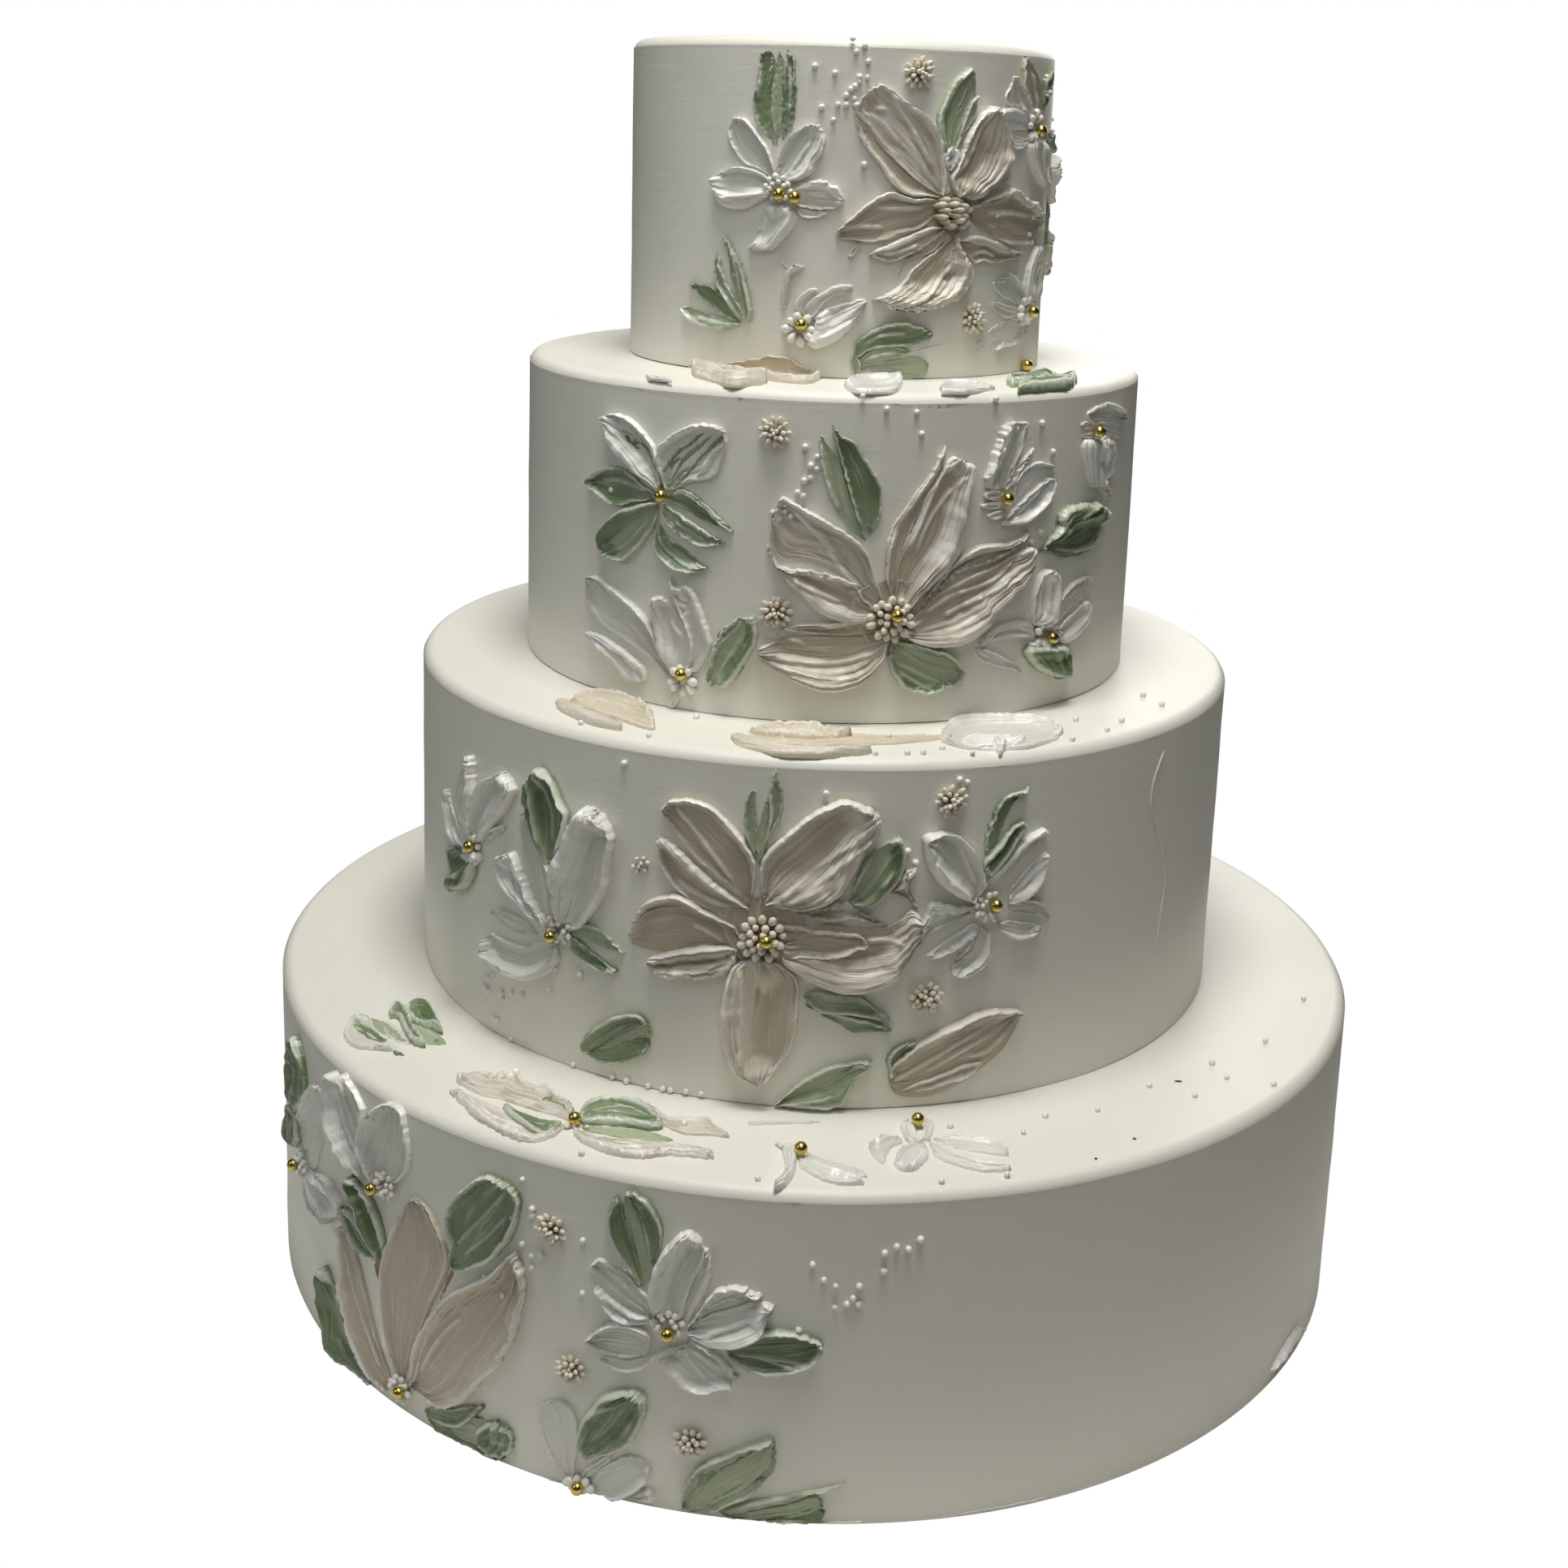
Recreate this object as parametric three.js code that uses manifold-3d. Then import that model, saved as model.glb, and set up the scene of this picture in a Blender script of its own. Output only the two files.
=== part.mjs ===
// Tiered wedding cake: four plain round tiers of smooth ivory icing, covered in
// flowers and leaves that were spread on with a palette knife.
// Millimetres, +Z up. The origin is the middle of the underside of the base tier,
// and -Y is the front.
import * as THREE from "three";
import { mergeVertices } from "three/addons/utils/BufferGeometryUtils.js";
import Module from "manifold-3d";

const wasm = await Module();
wasm.setup();

// ---------------------------------------------------------------- driving sizes
const GAP = 0.3;              // air between two pieces that touch
const TIER_SEGMENTS = 44;
const EDGE_ROUND = 5;         // radius of the icing's rounded top edge
const EDGE_STEPS = 2;
const SEAT = 0.25;            // extra lift that keeps a flat facet off the round wall
const JOIN_TOLERANCE = 0.25;  // joining strokes leaves no sliver thinner than this
const OVERLAY = 0.25;         // how much higher the next stroke over a petal lies

const TIERS = {
  base: { name: "tier_base", radius: 205, foot: 0, height: 112 },
  third: { name: "tier_third", radius: 152, foot: 112, height: 118 },
  second: { name: "tier_second", radius: 113, foot: 230, height: 110 },
  top: { name: "tier_top", radius: 76, foot: 340, height: 112 },
};

const FILM = 0.9;             // thin middle of a knife stroke
const RIDGE = 2.3;            // raised icing along its two sides
const RIDGE_PLACE = 0.76;     // where a ridge stands, as a share of the half width
const WIDE_STROKE = 20;       // from here on a stroke's dished middle is modelled
const STEP_LENGTHS = [36, 64]; // a stroke takes one more step past each of these
const HEART_RISE = 3.6;       // the dabs in the middle of a flower
const POM_RADIUS = 5;
const POM_RISE = 4;
const POM_DABS = 4;

const COLOURS = {
  ivory: 0xf1eee2,
  pearl: 0xe9e7df,
  blush: 0xcbbcae,
  peach: 0xeadcc8,
  sage: 0x8ea087,
  stamen: 0xd6c8ae,
};

// A stroke is [across, up, direction, length, width, bow]: where it starts, in mm from
// the flower's heart, its direction in degrees clockwise from straight up, its size in
// mm, and how far its middle bows to its right hand side. On a ledge, up is inwards.
const WALL_PIECES = [
  // ---- top tier
  { name: "white_flower_top_left", tier: "top", at: [-15, 61], heart: 5, colour: "pearl",
    strokes: [[-2, 3, -37, 24, 11], [-1, 3, 37, 24, 12], [-2, 1, -88, 21, 14],
      [3, 1, 97, 19, 11], [0, -2, -156, 19, 11]] },
  { name: "leaf_top_left", tier: "top", at: [-17, 79], colour: "sage",
    strokes: [[0, 0, 0, 28, 13]] },
  { name: "blush_flower_top", tier: "top", at: [30, 58], heart: 8, colour: "blush",
    strokes: [[-3, 6, -44, 44, 19], [-6, 3, -50, 38, 9, -3], [0, 7, 30, 32, 10],
      [3, 3, 52, 26, 8], [5, -1, 90, 38, 20], [-6, 2, -107, 36, 14], [-2, -6, -113, 29, 9],
      [2, -5, 103, 33, 9], [1, -5, -136, 40, 12], [-5, 12, 17, 34, 9, -2]] },
  { name: "white_flower_top_right", tier: "top", at: [60, 84], heart: 5, colour: "pearl",
    strokes: [[-3, 4, -25, 16, 7], [-4, 2, -85, 18, 8], [-3, -4, -70, 17, 5],
      [2, 3, -8, 21, 11], [0, -3, 175, 17, 8]] },
  { name: "leaf_sprig_top", tier: "top", at: [-23, 17], heart: 2.5, colour: "sage",
    strokes: [[1, 1, -17, 29, 7, 3], [0, 1, -31, 25, 6], [-1, 0, -62, 25, 10],
      [-2, -1, -86, 23, 7]] },
  { name: "white_flower_top_low", tier: "top", at: [-8, 18], heart: 5, colour: "pearl",
    strokes: [[-2, 3, -18, 17, 7], [1, 3, 62, 18, 7], [2, -3, 57, 24, 9]] },
  { name: "leaf_fan_top", tier: "top", at: [5, 9], heart: 2.5, colour: "sage",
    strokes: [[0, 0, 73, 29, 8, -2], [1, -2, 76, 20, 5], [2, -2, 86, 25, 7]] },
  { name: "white_flower_top_edge", tier: "top", at: [62, 21], heart: 5, colour: "pearl",
    strokes: [[-3, 3, -58, 17, 8], [-1, 4, 15, 18, 6], [-3, -3, -113, 15, 7]] },
  { name: "blush_flower_top_back", tier: "top", at: [112, 62], heart: 7, colour: "blush",
    strokes: [[0, 4, -8, 37, 16], [3, 2, 62, 35, 15], [2, -3, 134, 34, 16],
      [-3, -3, -146, 33, 15], [-4, 1, -78, 31, 15]] },
  // ---- second tier
  { name: "star_flower_second", tier: "second", at: [-29, 72], heart: 4, colour: "sage",
    strokes: [[-1, 3, -50, 31, 12], [1, 3, 48, 30, 13], [-2, 2, -92, 30, 11],
      [-1, -3, -128, 31, 14], [3, 1, 115, 23, 7], [2, -4, 111, 23, 9], [0, -9, 124, 22, 9]] },
  { name: "blush_flower_second", tier: "second", at: [11, 37], heart: 7, colour: "blush",
    strokes: [[-5, 5, -44, 44, 15], [-5, 1, -57, 43, 13, -3], [-4, 7, 21, 53, 13],
      [1, 5, 30, 50, 18], [5, 5, 65, 48, 8], [3, -2, 70, 50, 21, 3], [-4, -2, -96, 33, 4],
      [-1, -5, -101, 42, 20, -2], [1, -5, 120, 34, 13], [-2, 4, -17, 58, 12, 2]] },
  { name: "white_flower_second_left", tier: "second", at: [-24, 13], heart: 5,
    colour: "pearl",
    strokes: [[-2, 3, -62, 44, 16], [-1, 2, -15, 28, 13], [2, 2, -2, 30, 11],
      [-4, -1, -74, 36, 6]] },
  { name: "leaf_second_left", tier: "second", at: [-19, 11], colour: "sage",
    strokes: [[0, 0, 33, 30, 15]] },
  { name: "white_flower_second_upper", tier: "second", at: [31, 75], heart: 5,
    colour: "pearl",
    strokes: [[-4, 2, 10, 25, 11], [-1, 3, 39, 19, 7], [2, 2, 68, 19, 9],
      [-2, -4, 65, 25, 7]] },
  { name: "white_flower_second_edge", tier: "second", at: [54, 93], heart: 4,
    colour: "pearl",
    strokes: [[-3, 2, 80, 20, 5, -1], [-1, -3, 166, 22, 10]] },
  { name: "leaf_second_right", tier: "second", at: [39, 55], colour: "sage",
    strokes: [[0, 0, 69, 32, 17]] },
  { name: "white_flower_second_right", tier: "second", at: [43, 24], heart: 5,
    colour: "pearl",
    strokes: [[-2, 3, -7, 22, 11], [1, 3, 53, 24, 9], [2, 0, 62, 21, 7],
      [-2, 1, -88, 28, 4], [-9, -6, 96, 22, 10]] },
  { name: "white_flower_second_back", tier: "second", at: [120, 66], heart: 5,
    colour: "pearl",
    strokes: [[-2, 4, -30, 24, 11], [3, 3, 42, 22, 12], [-3, 0, -96, 21, 10],
      [3, -3, 112, 22, 11], [-1, -4, -160, 22, 10]] },
  // ---- third tier
  { name: "white_flower_third_edge", tier: "third", at: [-52, 63], heart: 5,
    colour: "pearl",
    strokes: [[0, 2, -7, 28, 13], [3, 3, 27, 30, 9], [4, 2, 43, 29, 9], [-3, 2, -38, 19, 9],
      [-1, -3, -168, 16, 12]] },
  { name: "white_flower_third_left", tier: "third", at: [-35, 45], heart: 6,
    colour: "pearl",
    strokes: [[0, 3, -20, 39, 10], [-3, 3, -41, 28, 17], [1, 4, 21, 47, 22],
      [-4, 0, -93, 26, 6], [-2, -3, -111, 34, 14], [2, 1, 97, 27, 7], [2, -1, 112, 28, 8],
      [1, 22, -8, 35, 14]] },
  { name: "blush_flower_third", tier: "third", at: [-6, 57], heart: 8, colour: "blush",
    strokes: [[-3, 6, -40, 47, 17], [-5, 5, -55, 40, 15, -4], [-1, 6, 36, 51, 16],
      [3, 5, 47, 46, 12], [5, 4, 98, 40, 9, -2], [6, -2, 89, 42, 19, 3],
      [-4, 3, -95, 40, 16], [-5, -2, -109, 34, 13], [0, -5, 180, 43, 24],
      [4, -5, 117, 44, 12]] },
  { name: "leaf_third_up", tier: "third", at: [-7, 87], heart: 2, colour: "sage",
    strokes: [[-1, 0, -9, 20, 5], [1, 0, 7, 27, 6]] },
  { name: "leaf_third_right", tier: "third", at: [7, 71], colour: "sage",
    strokes: [[0, 0, 24, 25, 11]] },
  { name: "white_flower_third_right", tier: "third", at: [22, 67], heart: 6,
    colour: "pearl",
    strokes: [[-3, 4, -40, 28, 14], [1, 5, 50, 26, 6], [3, 3, 62, 21, 7],
      [4, -1, 104, 18, 5], [3, -4, 118, 17, 7], [-4, 1, -101, 19, 9], [-4, -4, -122, 19, 7],
      [-1, -4, -150, 21, 8], [-1, 4, 21, 40, 8]] },
  { name: "leaf_third_foot_left", tier: "third", at: [-30, 9], colour: "sage",
    strokes: [[0, 0, 60, 30, 15]] },
  { name: "leaf_third_foot_right", tier: "third", at: [-4, 4], colour: "sage",
    strokes: [[0, 0, 59, 33, 12]] },
  { name: "blush_stroke_third", tier: "third", at: [10, 11], colour: "blush",
    strokes: [[0, -1, 66, 49, 19]] },
  { name: "white_flower_third_back", tier: "third", at: [-118, 52], heart: 5,
    colour: "pearl",
    strokes: [[0, 4, 8, 28, 13], [4, 2, 64, 24, 11], [2, -3, 130, 24, 12],
      [-3, -3, -128, 24, 11], [-4, 2, -62, 26, 12]] },
  // ---- base tier
  { name: "leaf_base_edge", tier: "base", at: [-62, 72], heart: 2.5, colour: "sage",
    strokes: [[0, 0, 4, 31, 10], [0, 3, -174, 22, 8]] },
  { name: "white_flower_base_edge", tier: "base", at: [-59, 47], heart: 5,
    colour: "pearl",
    strokes: [[1, 3, 8, 34, 11], [3, 4, 26, 26, 7], [2, -3, 140, 24, 12]] },
  { name: "white_flower_base_left", tier: "base", at: [-44, 75], heart: 5,
    colour: "pearl",
    strokes: [[-3, 2, -31, 34, 12], [-1, 3, -17, 30, 9], [1, 2, 23, 35, 18],
      [4, -20, -62, 24, 10], [4, -18, -30, 24, 9], [1, -20, -6, 21, 5]] },
  { name: "blush_flower_base", tier: "base", at: [-40, 9], heart: 7, colour: "blush",
    strokes: [[-2, 3, -36, 54, 23], [1, 4, 6, 66, 27], [4, 2, 42, 72, 25],
      [-4, 0, -57, 52, 12], [4, 0, 92, 45, 11]] },
  { name: "leaf_base_oval", tier: "base", at: [-33, 66], colour: "sage",
    strokes: [[0, 0, 28, 40, 21]] },
  { name: "white_flower_base_mid", tier: "base", at: [-11, 61], heart: 6,
    colour: "pearl",
    strokes: [[1, 4, 16, 33, 15], [-4, 5, -60, 27, 8], [-4, 2, -70, 20, 8],
      [-4, -2, -104, 23, 11], [-3, -5, -116, 19, 5], [0, -5, 106, 22, 11],
      [5, -2, 121, 19, 5], [5, 2, 67, 28, 10], [4, 3, 58, 27, 5], [5, -3, 84, 42, 13],
      [-3, 10, -10, 35, 17]] },
  { name: "white_flower_base_foot", tier: "base", at: [-19, 6], heart: 5,
    colour: "pearl",
    strokes: [[-2, 3, -9, 30, 13], [3, 2, 62, 25, 9]] },
  { name: "leaf_base_foot", tier: "base", at: [-18, 19], colour: "sage",
    strokes: [[0, 0, 38, 30, 15]] },
  { name: "leaf_base_right", tier: "base", at: [-10, 5], heart: 2.5, colour: "sage",
    strokes: [[0, 0, 45, 38, 15], [2, 0, 80, 42, 8]] },
  { name: "blush_flower_base_back", tier: "base", at: [-114, 50], heart: 8,
    colour: "blush",
    strokes: [[-2, 4, -30, 45, 18], [3, 4, 38, 45, 18], [3, -2, 104, 41, 17],
      [-1, -5, 176, 39, 18], [-4, 1, -98, 43, 17]] },
];

const LEDGE_PIECES = [
  { name: "peach_strokes_second_ledge", tier: "second", at: [-16, 91], colour: "peach",
    strokes: [[19, -4, -79, 44, 10], [12, -6, -77, 46, 7, -3]] },
  { name: "leaf_second_ledge", tier: "second", at: [43, 95], colour: "sage",
    strokes: [[-1, 8, 134, 24, 9]] },
  { name: "peach_stroke_third_ledge_left", tier: "third", at: [-34, 131],
    colour: "peach", strokes: [[20, 0, -90, 42, 13]] },
  { name: "peach_stroke_third_ledge_mid", tier: "third", at: [-3, 134],
    colour: "peach", strokes: [[23, 0, -88, 46, 13]] },
  { name: "white_stroke_third_ledge", tier: "third", at: [26, 134], colour: "pearl",
    strokes: [[-20, 3, 98, 41, 12]] },
  { name: "striped_strokes_base_ledge", tier: "base", at: [-53, 179], colour: "sage",
    strokes: [[10, -7, -100, 21, 11], [16, -3, -89, 28, 9], [17, 3, -88, 32, 9],
      [12, 10, -92, 26, 13]] },
  { name: "blush_flower_base_ledge", tier: "base", at: [-24, 182], heart: 4,
    colour: "blush",
    strokes: [[-1, 2, -90, 47, 15], [0, -3, -88, 47, 9], [1, 1, 84, 32, 13],
      [0, 2, 78, 50, 13], [1, -2, 88, 47, 9]] },
  { name: "white_flower_base_ledge_mid", tier: "base", at: [0, 177], heart: 3,
    colour: "pearl", strokes: [[-1, 0, 190, 20, 5], [1, -1, 122, 28, 8]] },
  { name: "white_flower_base_ledge_right", tier: "base", at: [13, 164], heart: 4,
    colour: "pearl",
    strokes: [[-2, -2, -120, 20, 9], [0, -3, 136, 34, 9]] },
];

// little bunches of piped stamens: [name, tier, degrees round, mm up]
const POMS = [
  ["stamen_bunch_top_a", "top", 19, 101],
  ["stamen_bunch_top_b", "top", 38, 20],
  ["stamen_bunch_second_a", "second", -9, 96],
  ["stamen_bunch_second_b", "second", -8, 37],
  ["stamen_bunch_third_a", "third", 16, 104],
  ["stamen_bunch_third_b", "third", 14, 38],
  ["stamen_bunch_base_a", "base", -22, 88],
  ["stamen_bunch_base_b", "base", -20, 42],
  ["stamen_bunch_base_c", "base", -9, 25],
];

// ---------------------------------------------------------------- solids
function solidFrom(geometry) {
  const bare = geometry.clone();
  bare.deleteAttribute("normal");
  bare.deleteAttribute("uv");
  const merged = mergeVertices(bare, 1e-4);
  return new wasm.Manifold(new wasm.Mesh({
    numProp: 3,
    vertProperties: new Float32Array(merged.attributes.position.array),
    triVerts: new Uint32Array(merged.index.array),
  }));
}

function geometryFrom(solid) {
  const mesh = solid.getMesh();
  const geometry = new THREE.BufferGeometry();
  geometry.setAttribute("position", new THREE.BufferAttribute(mesh.vertProperties, 3));
  geometry.setIndex(new THREE.BufferAttribute(mesh.triVerts, 1));
  geometry.computeVertexNormals();
  return geometry;
}

function piece(name, geometry, colour, roughness) {
  const material = new THREE.MeshStandardMaterial({
    color: COLOURS[colour], roughness, metalness: 0,
  });
  const mesh = new THREE.Mesh(geometry, material);
  mesh.name = name;
  return mesh;
}

// ---------------------------------------------------------------- surfaces
// Each gives the place of a point that lies across mm to the right of, and up mm
// above, the middle of a decoration, lifted off the icing by lift.
function wallSurface(tier, [degrees, height]) {
  const middle = THREE.MathUtils.degToRad(degrees);
  return (across, up, lift) => {
    const angle = middle + across / tier.radius;
    const reach = tier.radius + GAP + SEAT + lift;
    return new THREE.Vector3(
      reach * Math.sin(angle), -reach * Math.cos(angle), tier.foot + height + up);
  };
}

function ledgeSurface(tier, [degrees, radius]) {
  const angle = THREE.MathUtils.degToRad(degrees);
  const outward = new THREE.Vector3(Math.sin(angle), -Math.cos(angle), 0);
  const along = new THREE.Vector3(Math.cos(angle), Math.sin(angle), 0);
  return (across, up, lift) => outward.clone()
    .multiplyScalar(radius - up)
    .addScaledVector(along, across)
    .setZ(tier.foot + tier.height + GAP + lift);
}

function laidOn(surface, geometry, place) {
  const position = geometry.attributes.position;
  const point = new THREE.Vector3();
  for (let i = 0; i < position.count; i += 1) {
    point.fromBufferAttribute(position, i);
    const [across, up, lift] = place(point);
    const spot = surface(across, up, lift);
    position.setXYZ(i, spot.x, spot.y, spot.z);
  }
  return geometry;
}

// ---------------------------------------------------------------- sub-parts
function tierGeometry({ radius, foot, height }) {
  const bottom = foot === 0 ? 0 : foot + GAP;
  const crown = foot + height;
  const profile = [new THREE.Vector2(0, bottom), new THREE.Vector2(radius, bottom)];
  for (let i = 0; i <= EDGE_STEPS; i += 1) {
    const turn = (Math.PI / 2) * (i / EDGE_STEPS);
    profile.push(new THREE.Vector2(
      radius - EDGE_ROUND * (1 - Math.cos(turn)),
      crown - EDGE_ROUND * (1 - Math.sin(turn))));
  }
  profile.push(new THREE.Vector2(0, crown));
  return new THREE.LatheGeometry(profile, TIER_SEGMENTS).rotateX(Math.PI / 2);
}

// One drag of the knife: a ball drawn out along its path, flat underneath, with a
// ridge down each side of a thinner middle.
function strokeSolid(surface, [x, y, degrees, length, width, bow = 0]) {
  const direction = THREE.MathUtils.degToRad(degrees);
  const [east, north] = [Math.sin(direction), Math.cos(direction)];
  const around = width >= WIDE_STROKE ? 8 : 6;
  const steps = 3 + STEP_LENGTHS.filter((reach) => length >= reach).length;
  const ball = new THREE.SphereGeometry(1, around, steps);
  return solidFrom(laidOn(surface, ball, (point) => {
    const along = Math.acos(THREE.MathUtils.clamp(point.y, -1, 1)) / Math.PI;
    const ring = Math.hypot(point.x, point.z);
    const side = ring > 1e-6 ? -point.x / ring : 0;
    const top = ring > 1e-6 ? point.z / ring : 0;
    const fullness = Math.sin(Math.PI * along ** 1.2) ** 0.55;
    const onRidge = top > 0.1 && Math.abs(side) > 0.2;
    const reach = onRidge ? Math.sign(side) * RIDGE_PLACE : side;
    const offset = reach * fullness * width / 2 + bow * Math.sin(Math.PI * along);
    let lift = 0;
    if (top > 0.1) lift = onRidge ? RIDGE * fullness : FILM;
    const run = along * length;
    return [x + east * run + north * offset, y + north * run - east * offset, lift];
  }));
}

// A low dome with a flat underside: the dabs at a flower's heart, or a whole bunch.
function domeGeometry(surface, radius, rise, lobes) {
  const ball = new THREE.SphereGeometry(1, 2 * Math.max(lobes, 4), 4).rotateX(Math.PI / 2);
  return laidOn(surface, ball, (point) => {
    const turn = Math.atan2(point.y, point.x);
    const reach = radius * (1 + (lobes ? 0.1 * Math.cos(lobes * turn) : 0));
    return [point.x * reach, point.y * reach, Math.max(0, point.z) * rise];
  });
}

function decorationSolid(surface, { heart, strokes }) {
  const solids = strokes.map((stroke, index) => {
    const overlay = OVERLAY * (index % 3);
    return strokeSolid((across, up, lift) => surface(across, up, lift + overlay), stroke);
  });
  if (heart) solids.push(solidFrom(domeGeometry(surface, heart, HEART_RISE, 0)));
  return solids
    .map((solid) => solid.setTolerance(JOIN_TOLERANCE))
    .reduce((whole, solid) => whole.add(solid));
}

// ---------------------------------------------------------------- the cake
const cake = new THREE.Group();
for (const tier of Object.values(TIERS)) {
  cake.add(piece(tier.name, tierGeometry(tier), "ivory", 0.55));
}
for (const spec of WALL_PIECES) {
  const surface = wallSurface(TIERS[spec.tier], spec.at);
  const solid = decorationSolid(surface, spec);
  cake.add(piece(spec.name, geometryFrom(solid), spec.colour, 0.45));
}
for (const spec of LEDGE_PIECES) {
  const surface = ledgeSurface(TIERS[spec.tier], spec.at);
  const solid = decorationSolid(surface, spec);
  cake.add(piece(spec.name, geometryFrom(solid), spec.colour, 0.45));
}
for (const [name, tier, degrees, height] of POMS) {
  const surface = wallSurface(TIERS[tier], [degrees, height]);
  const geometry = domeGeometry(surface, POM_RADIUS, POM_RISE, POM_DABS);
  cake.add(piece(name, geometry, "stamen", 0.6));
}

export default cake;
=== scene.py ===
"""Tiered wedding cake: four ivory tiers with flowers and leaves spread on by palette knife."""

import math
import re

import bpy
import numpy as np
from mathutils import Matrix, Vector


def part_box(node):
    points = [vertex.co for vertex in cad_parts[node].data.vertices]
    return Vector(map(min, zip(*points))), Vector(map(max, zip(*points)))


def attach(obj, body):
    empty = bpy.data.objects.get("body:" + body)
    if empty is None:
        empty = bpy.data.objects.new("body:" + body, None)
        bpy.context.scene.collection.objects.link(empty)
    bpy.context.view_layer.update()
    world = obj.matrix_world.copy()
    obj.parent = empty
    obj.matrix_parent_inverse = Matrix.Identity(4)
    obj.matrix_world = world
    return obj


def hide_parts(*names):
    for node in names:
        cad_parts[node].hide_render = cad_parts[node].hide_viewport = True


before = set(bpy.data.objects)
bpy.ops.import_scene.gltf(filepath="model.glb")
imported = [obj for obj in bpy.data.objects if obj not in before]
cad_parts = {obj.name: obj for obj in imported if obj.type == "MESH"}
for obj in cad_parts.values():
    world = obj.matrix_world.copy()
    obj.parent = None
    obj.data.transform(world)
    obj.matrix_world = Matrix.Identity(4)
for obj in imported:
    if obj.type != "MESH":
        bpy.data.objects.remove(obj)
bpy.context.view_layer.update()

MM = 0.001

# ---------------------------------------------------------------- camera
FRAME_WIDTH = 1932         # the frame that the places of the decorations are given in
VIEW_MIDDLE = 680          # row of the frame that the lens looks straight at
FOCAL = 2462               # focal length, in the frame's own units
SENSOR = 36
CAMERA_DISTANCE = 0.748
CAMERA_HEIGHT = 0.4217
CAMERA_PITCH = 0.2082
CAMERA_ROLL = 0.0312
CAMERA_YAW = -0.0216


def camera_axes():
    """The camera's right, up and forward directions."""
    flat = math.cos(CAMERA_PITCH)
    forward = Vector((math.sin(CAMERA_YAW) * flat, math.cos(CAMERA_YAW) * flat,
                      -math.sin(CAMERA_PITCH)))
    level = Vector((math.cos(CAMERA_YAW), -math.sin(CAMERA_YAW), 0))
    above = level.cross(forward)
    right = level * math.cos(CAMERA_ROLL) + above * math.sin(CAMERA_ROLL)
    up = above * math.cos(CAMERA_ROLL) - level * math.sin(CAMERA_ROLL)
    return right, up, forward


def add_camera():
    data = bpy.data.cameras.new("camera")
    data.sensor_width = SENSOR
    data.lens = FOCAL / FRAME_WIDTH * SENSOR
    data.shift_y = -(FRAME_WIDTH / 2 - VIEW_MIDDLE) / FRAME_WIDTH
    data.clip_start = 0.02
    camera = bpy.data.objects.new("camera", data)
    bpy.context.collection.objects.link(camera)
    right, up, forward = camera_axes()
    turn = Matrix((right, up, -forward)).transposed()
    camera.matrix_world = Matrix.Translation((0, -CAMERA_DISTANCE, CAMERA_HEIGHT)) @ turn.to_4x4()
    bpy.context.scene.camera = camera


add_camera()

# ---------------------------------------------------------------- sizes, in mm
EDGE_ROUND = 4.5           # rounded top edge of each tier
SINK = 0.5                 # how far a decoration's underside lies inside the icing
BEAD = 4.3                 # gold beads across
PEARL = 2.1                # sugar pearls across
SEEN_LIFT = 1.0            # how far a stroke's visible edge stands off the icing under it
GRID_STEP = 0.46           # size of a stroke's mesh faces


def tier_sizes(node):
    low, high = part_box(node)
    return {"radius": (high.x - low.x) / 2 / MM, "foot": low.z / MM, "crown": high.z / MM}


TIERS = {name: tier_sizes("tier_" + name) for name in ("base", "third", "second", "top")}
# how far out on each ledge the tier above it stands
for lower, upper in (("base", "third"), ("third", "second"), ("second", "top")):
    TIERS[lower]["inner"] = TIERS[upper]["radius"]
TIERS["top"]["inner"] = 0.0


# What a side of a knife stroke is like: a broad rounded bank of icing, a thin crisp rim, a torn
# rim or bank (crag), a thin film's edge, or nothing. Height, the distance of the crest from the
# edge and the reach of the inner slope are shares of the stroke's width; nick is in mm.
SIDES = {
    "bank": dict(height=0.22, crest=0.13, reach=0.56, curve=1.0, nick=0.34, lumps=0.26),
    "crag": dict(height=0.21, crest=0.14, reach=0.50, curve=1.0, nick=0.75, lumps=0.70),
    "rim": dict(height=0.15, crest=0.035, reach=0.30, curve=2.6, nick=0.42, lumps=0.36),
    "torn": dict(height=0.15, crest=0.05, reach=0.32, curve=2.2, nick=0.85, lumps=0.75),
    "edge": dict(height=0.05, crest=0.03, reach=0.16, curve=1.5, nick=0.40, lumps=0.22),
    "flat": dict(height=0.0, crest=0.03, reach=0.1, curve=1.0, nick=0.20, lumps=0.06),
}

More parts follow.
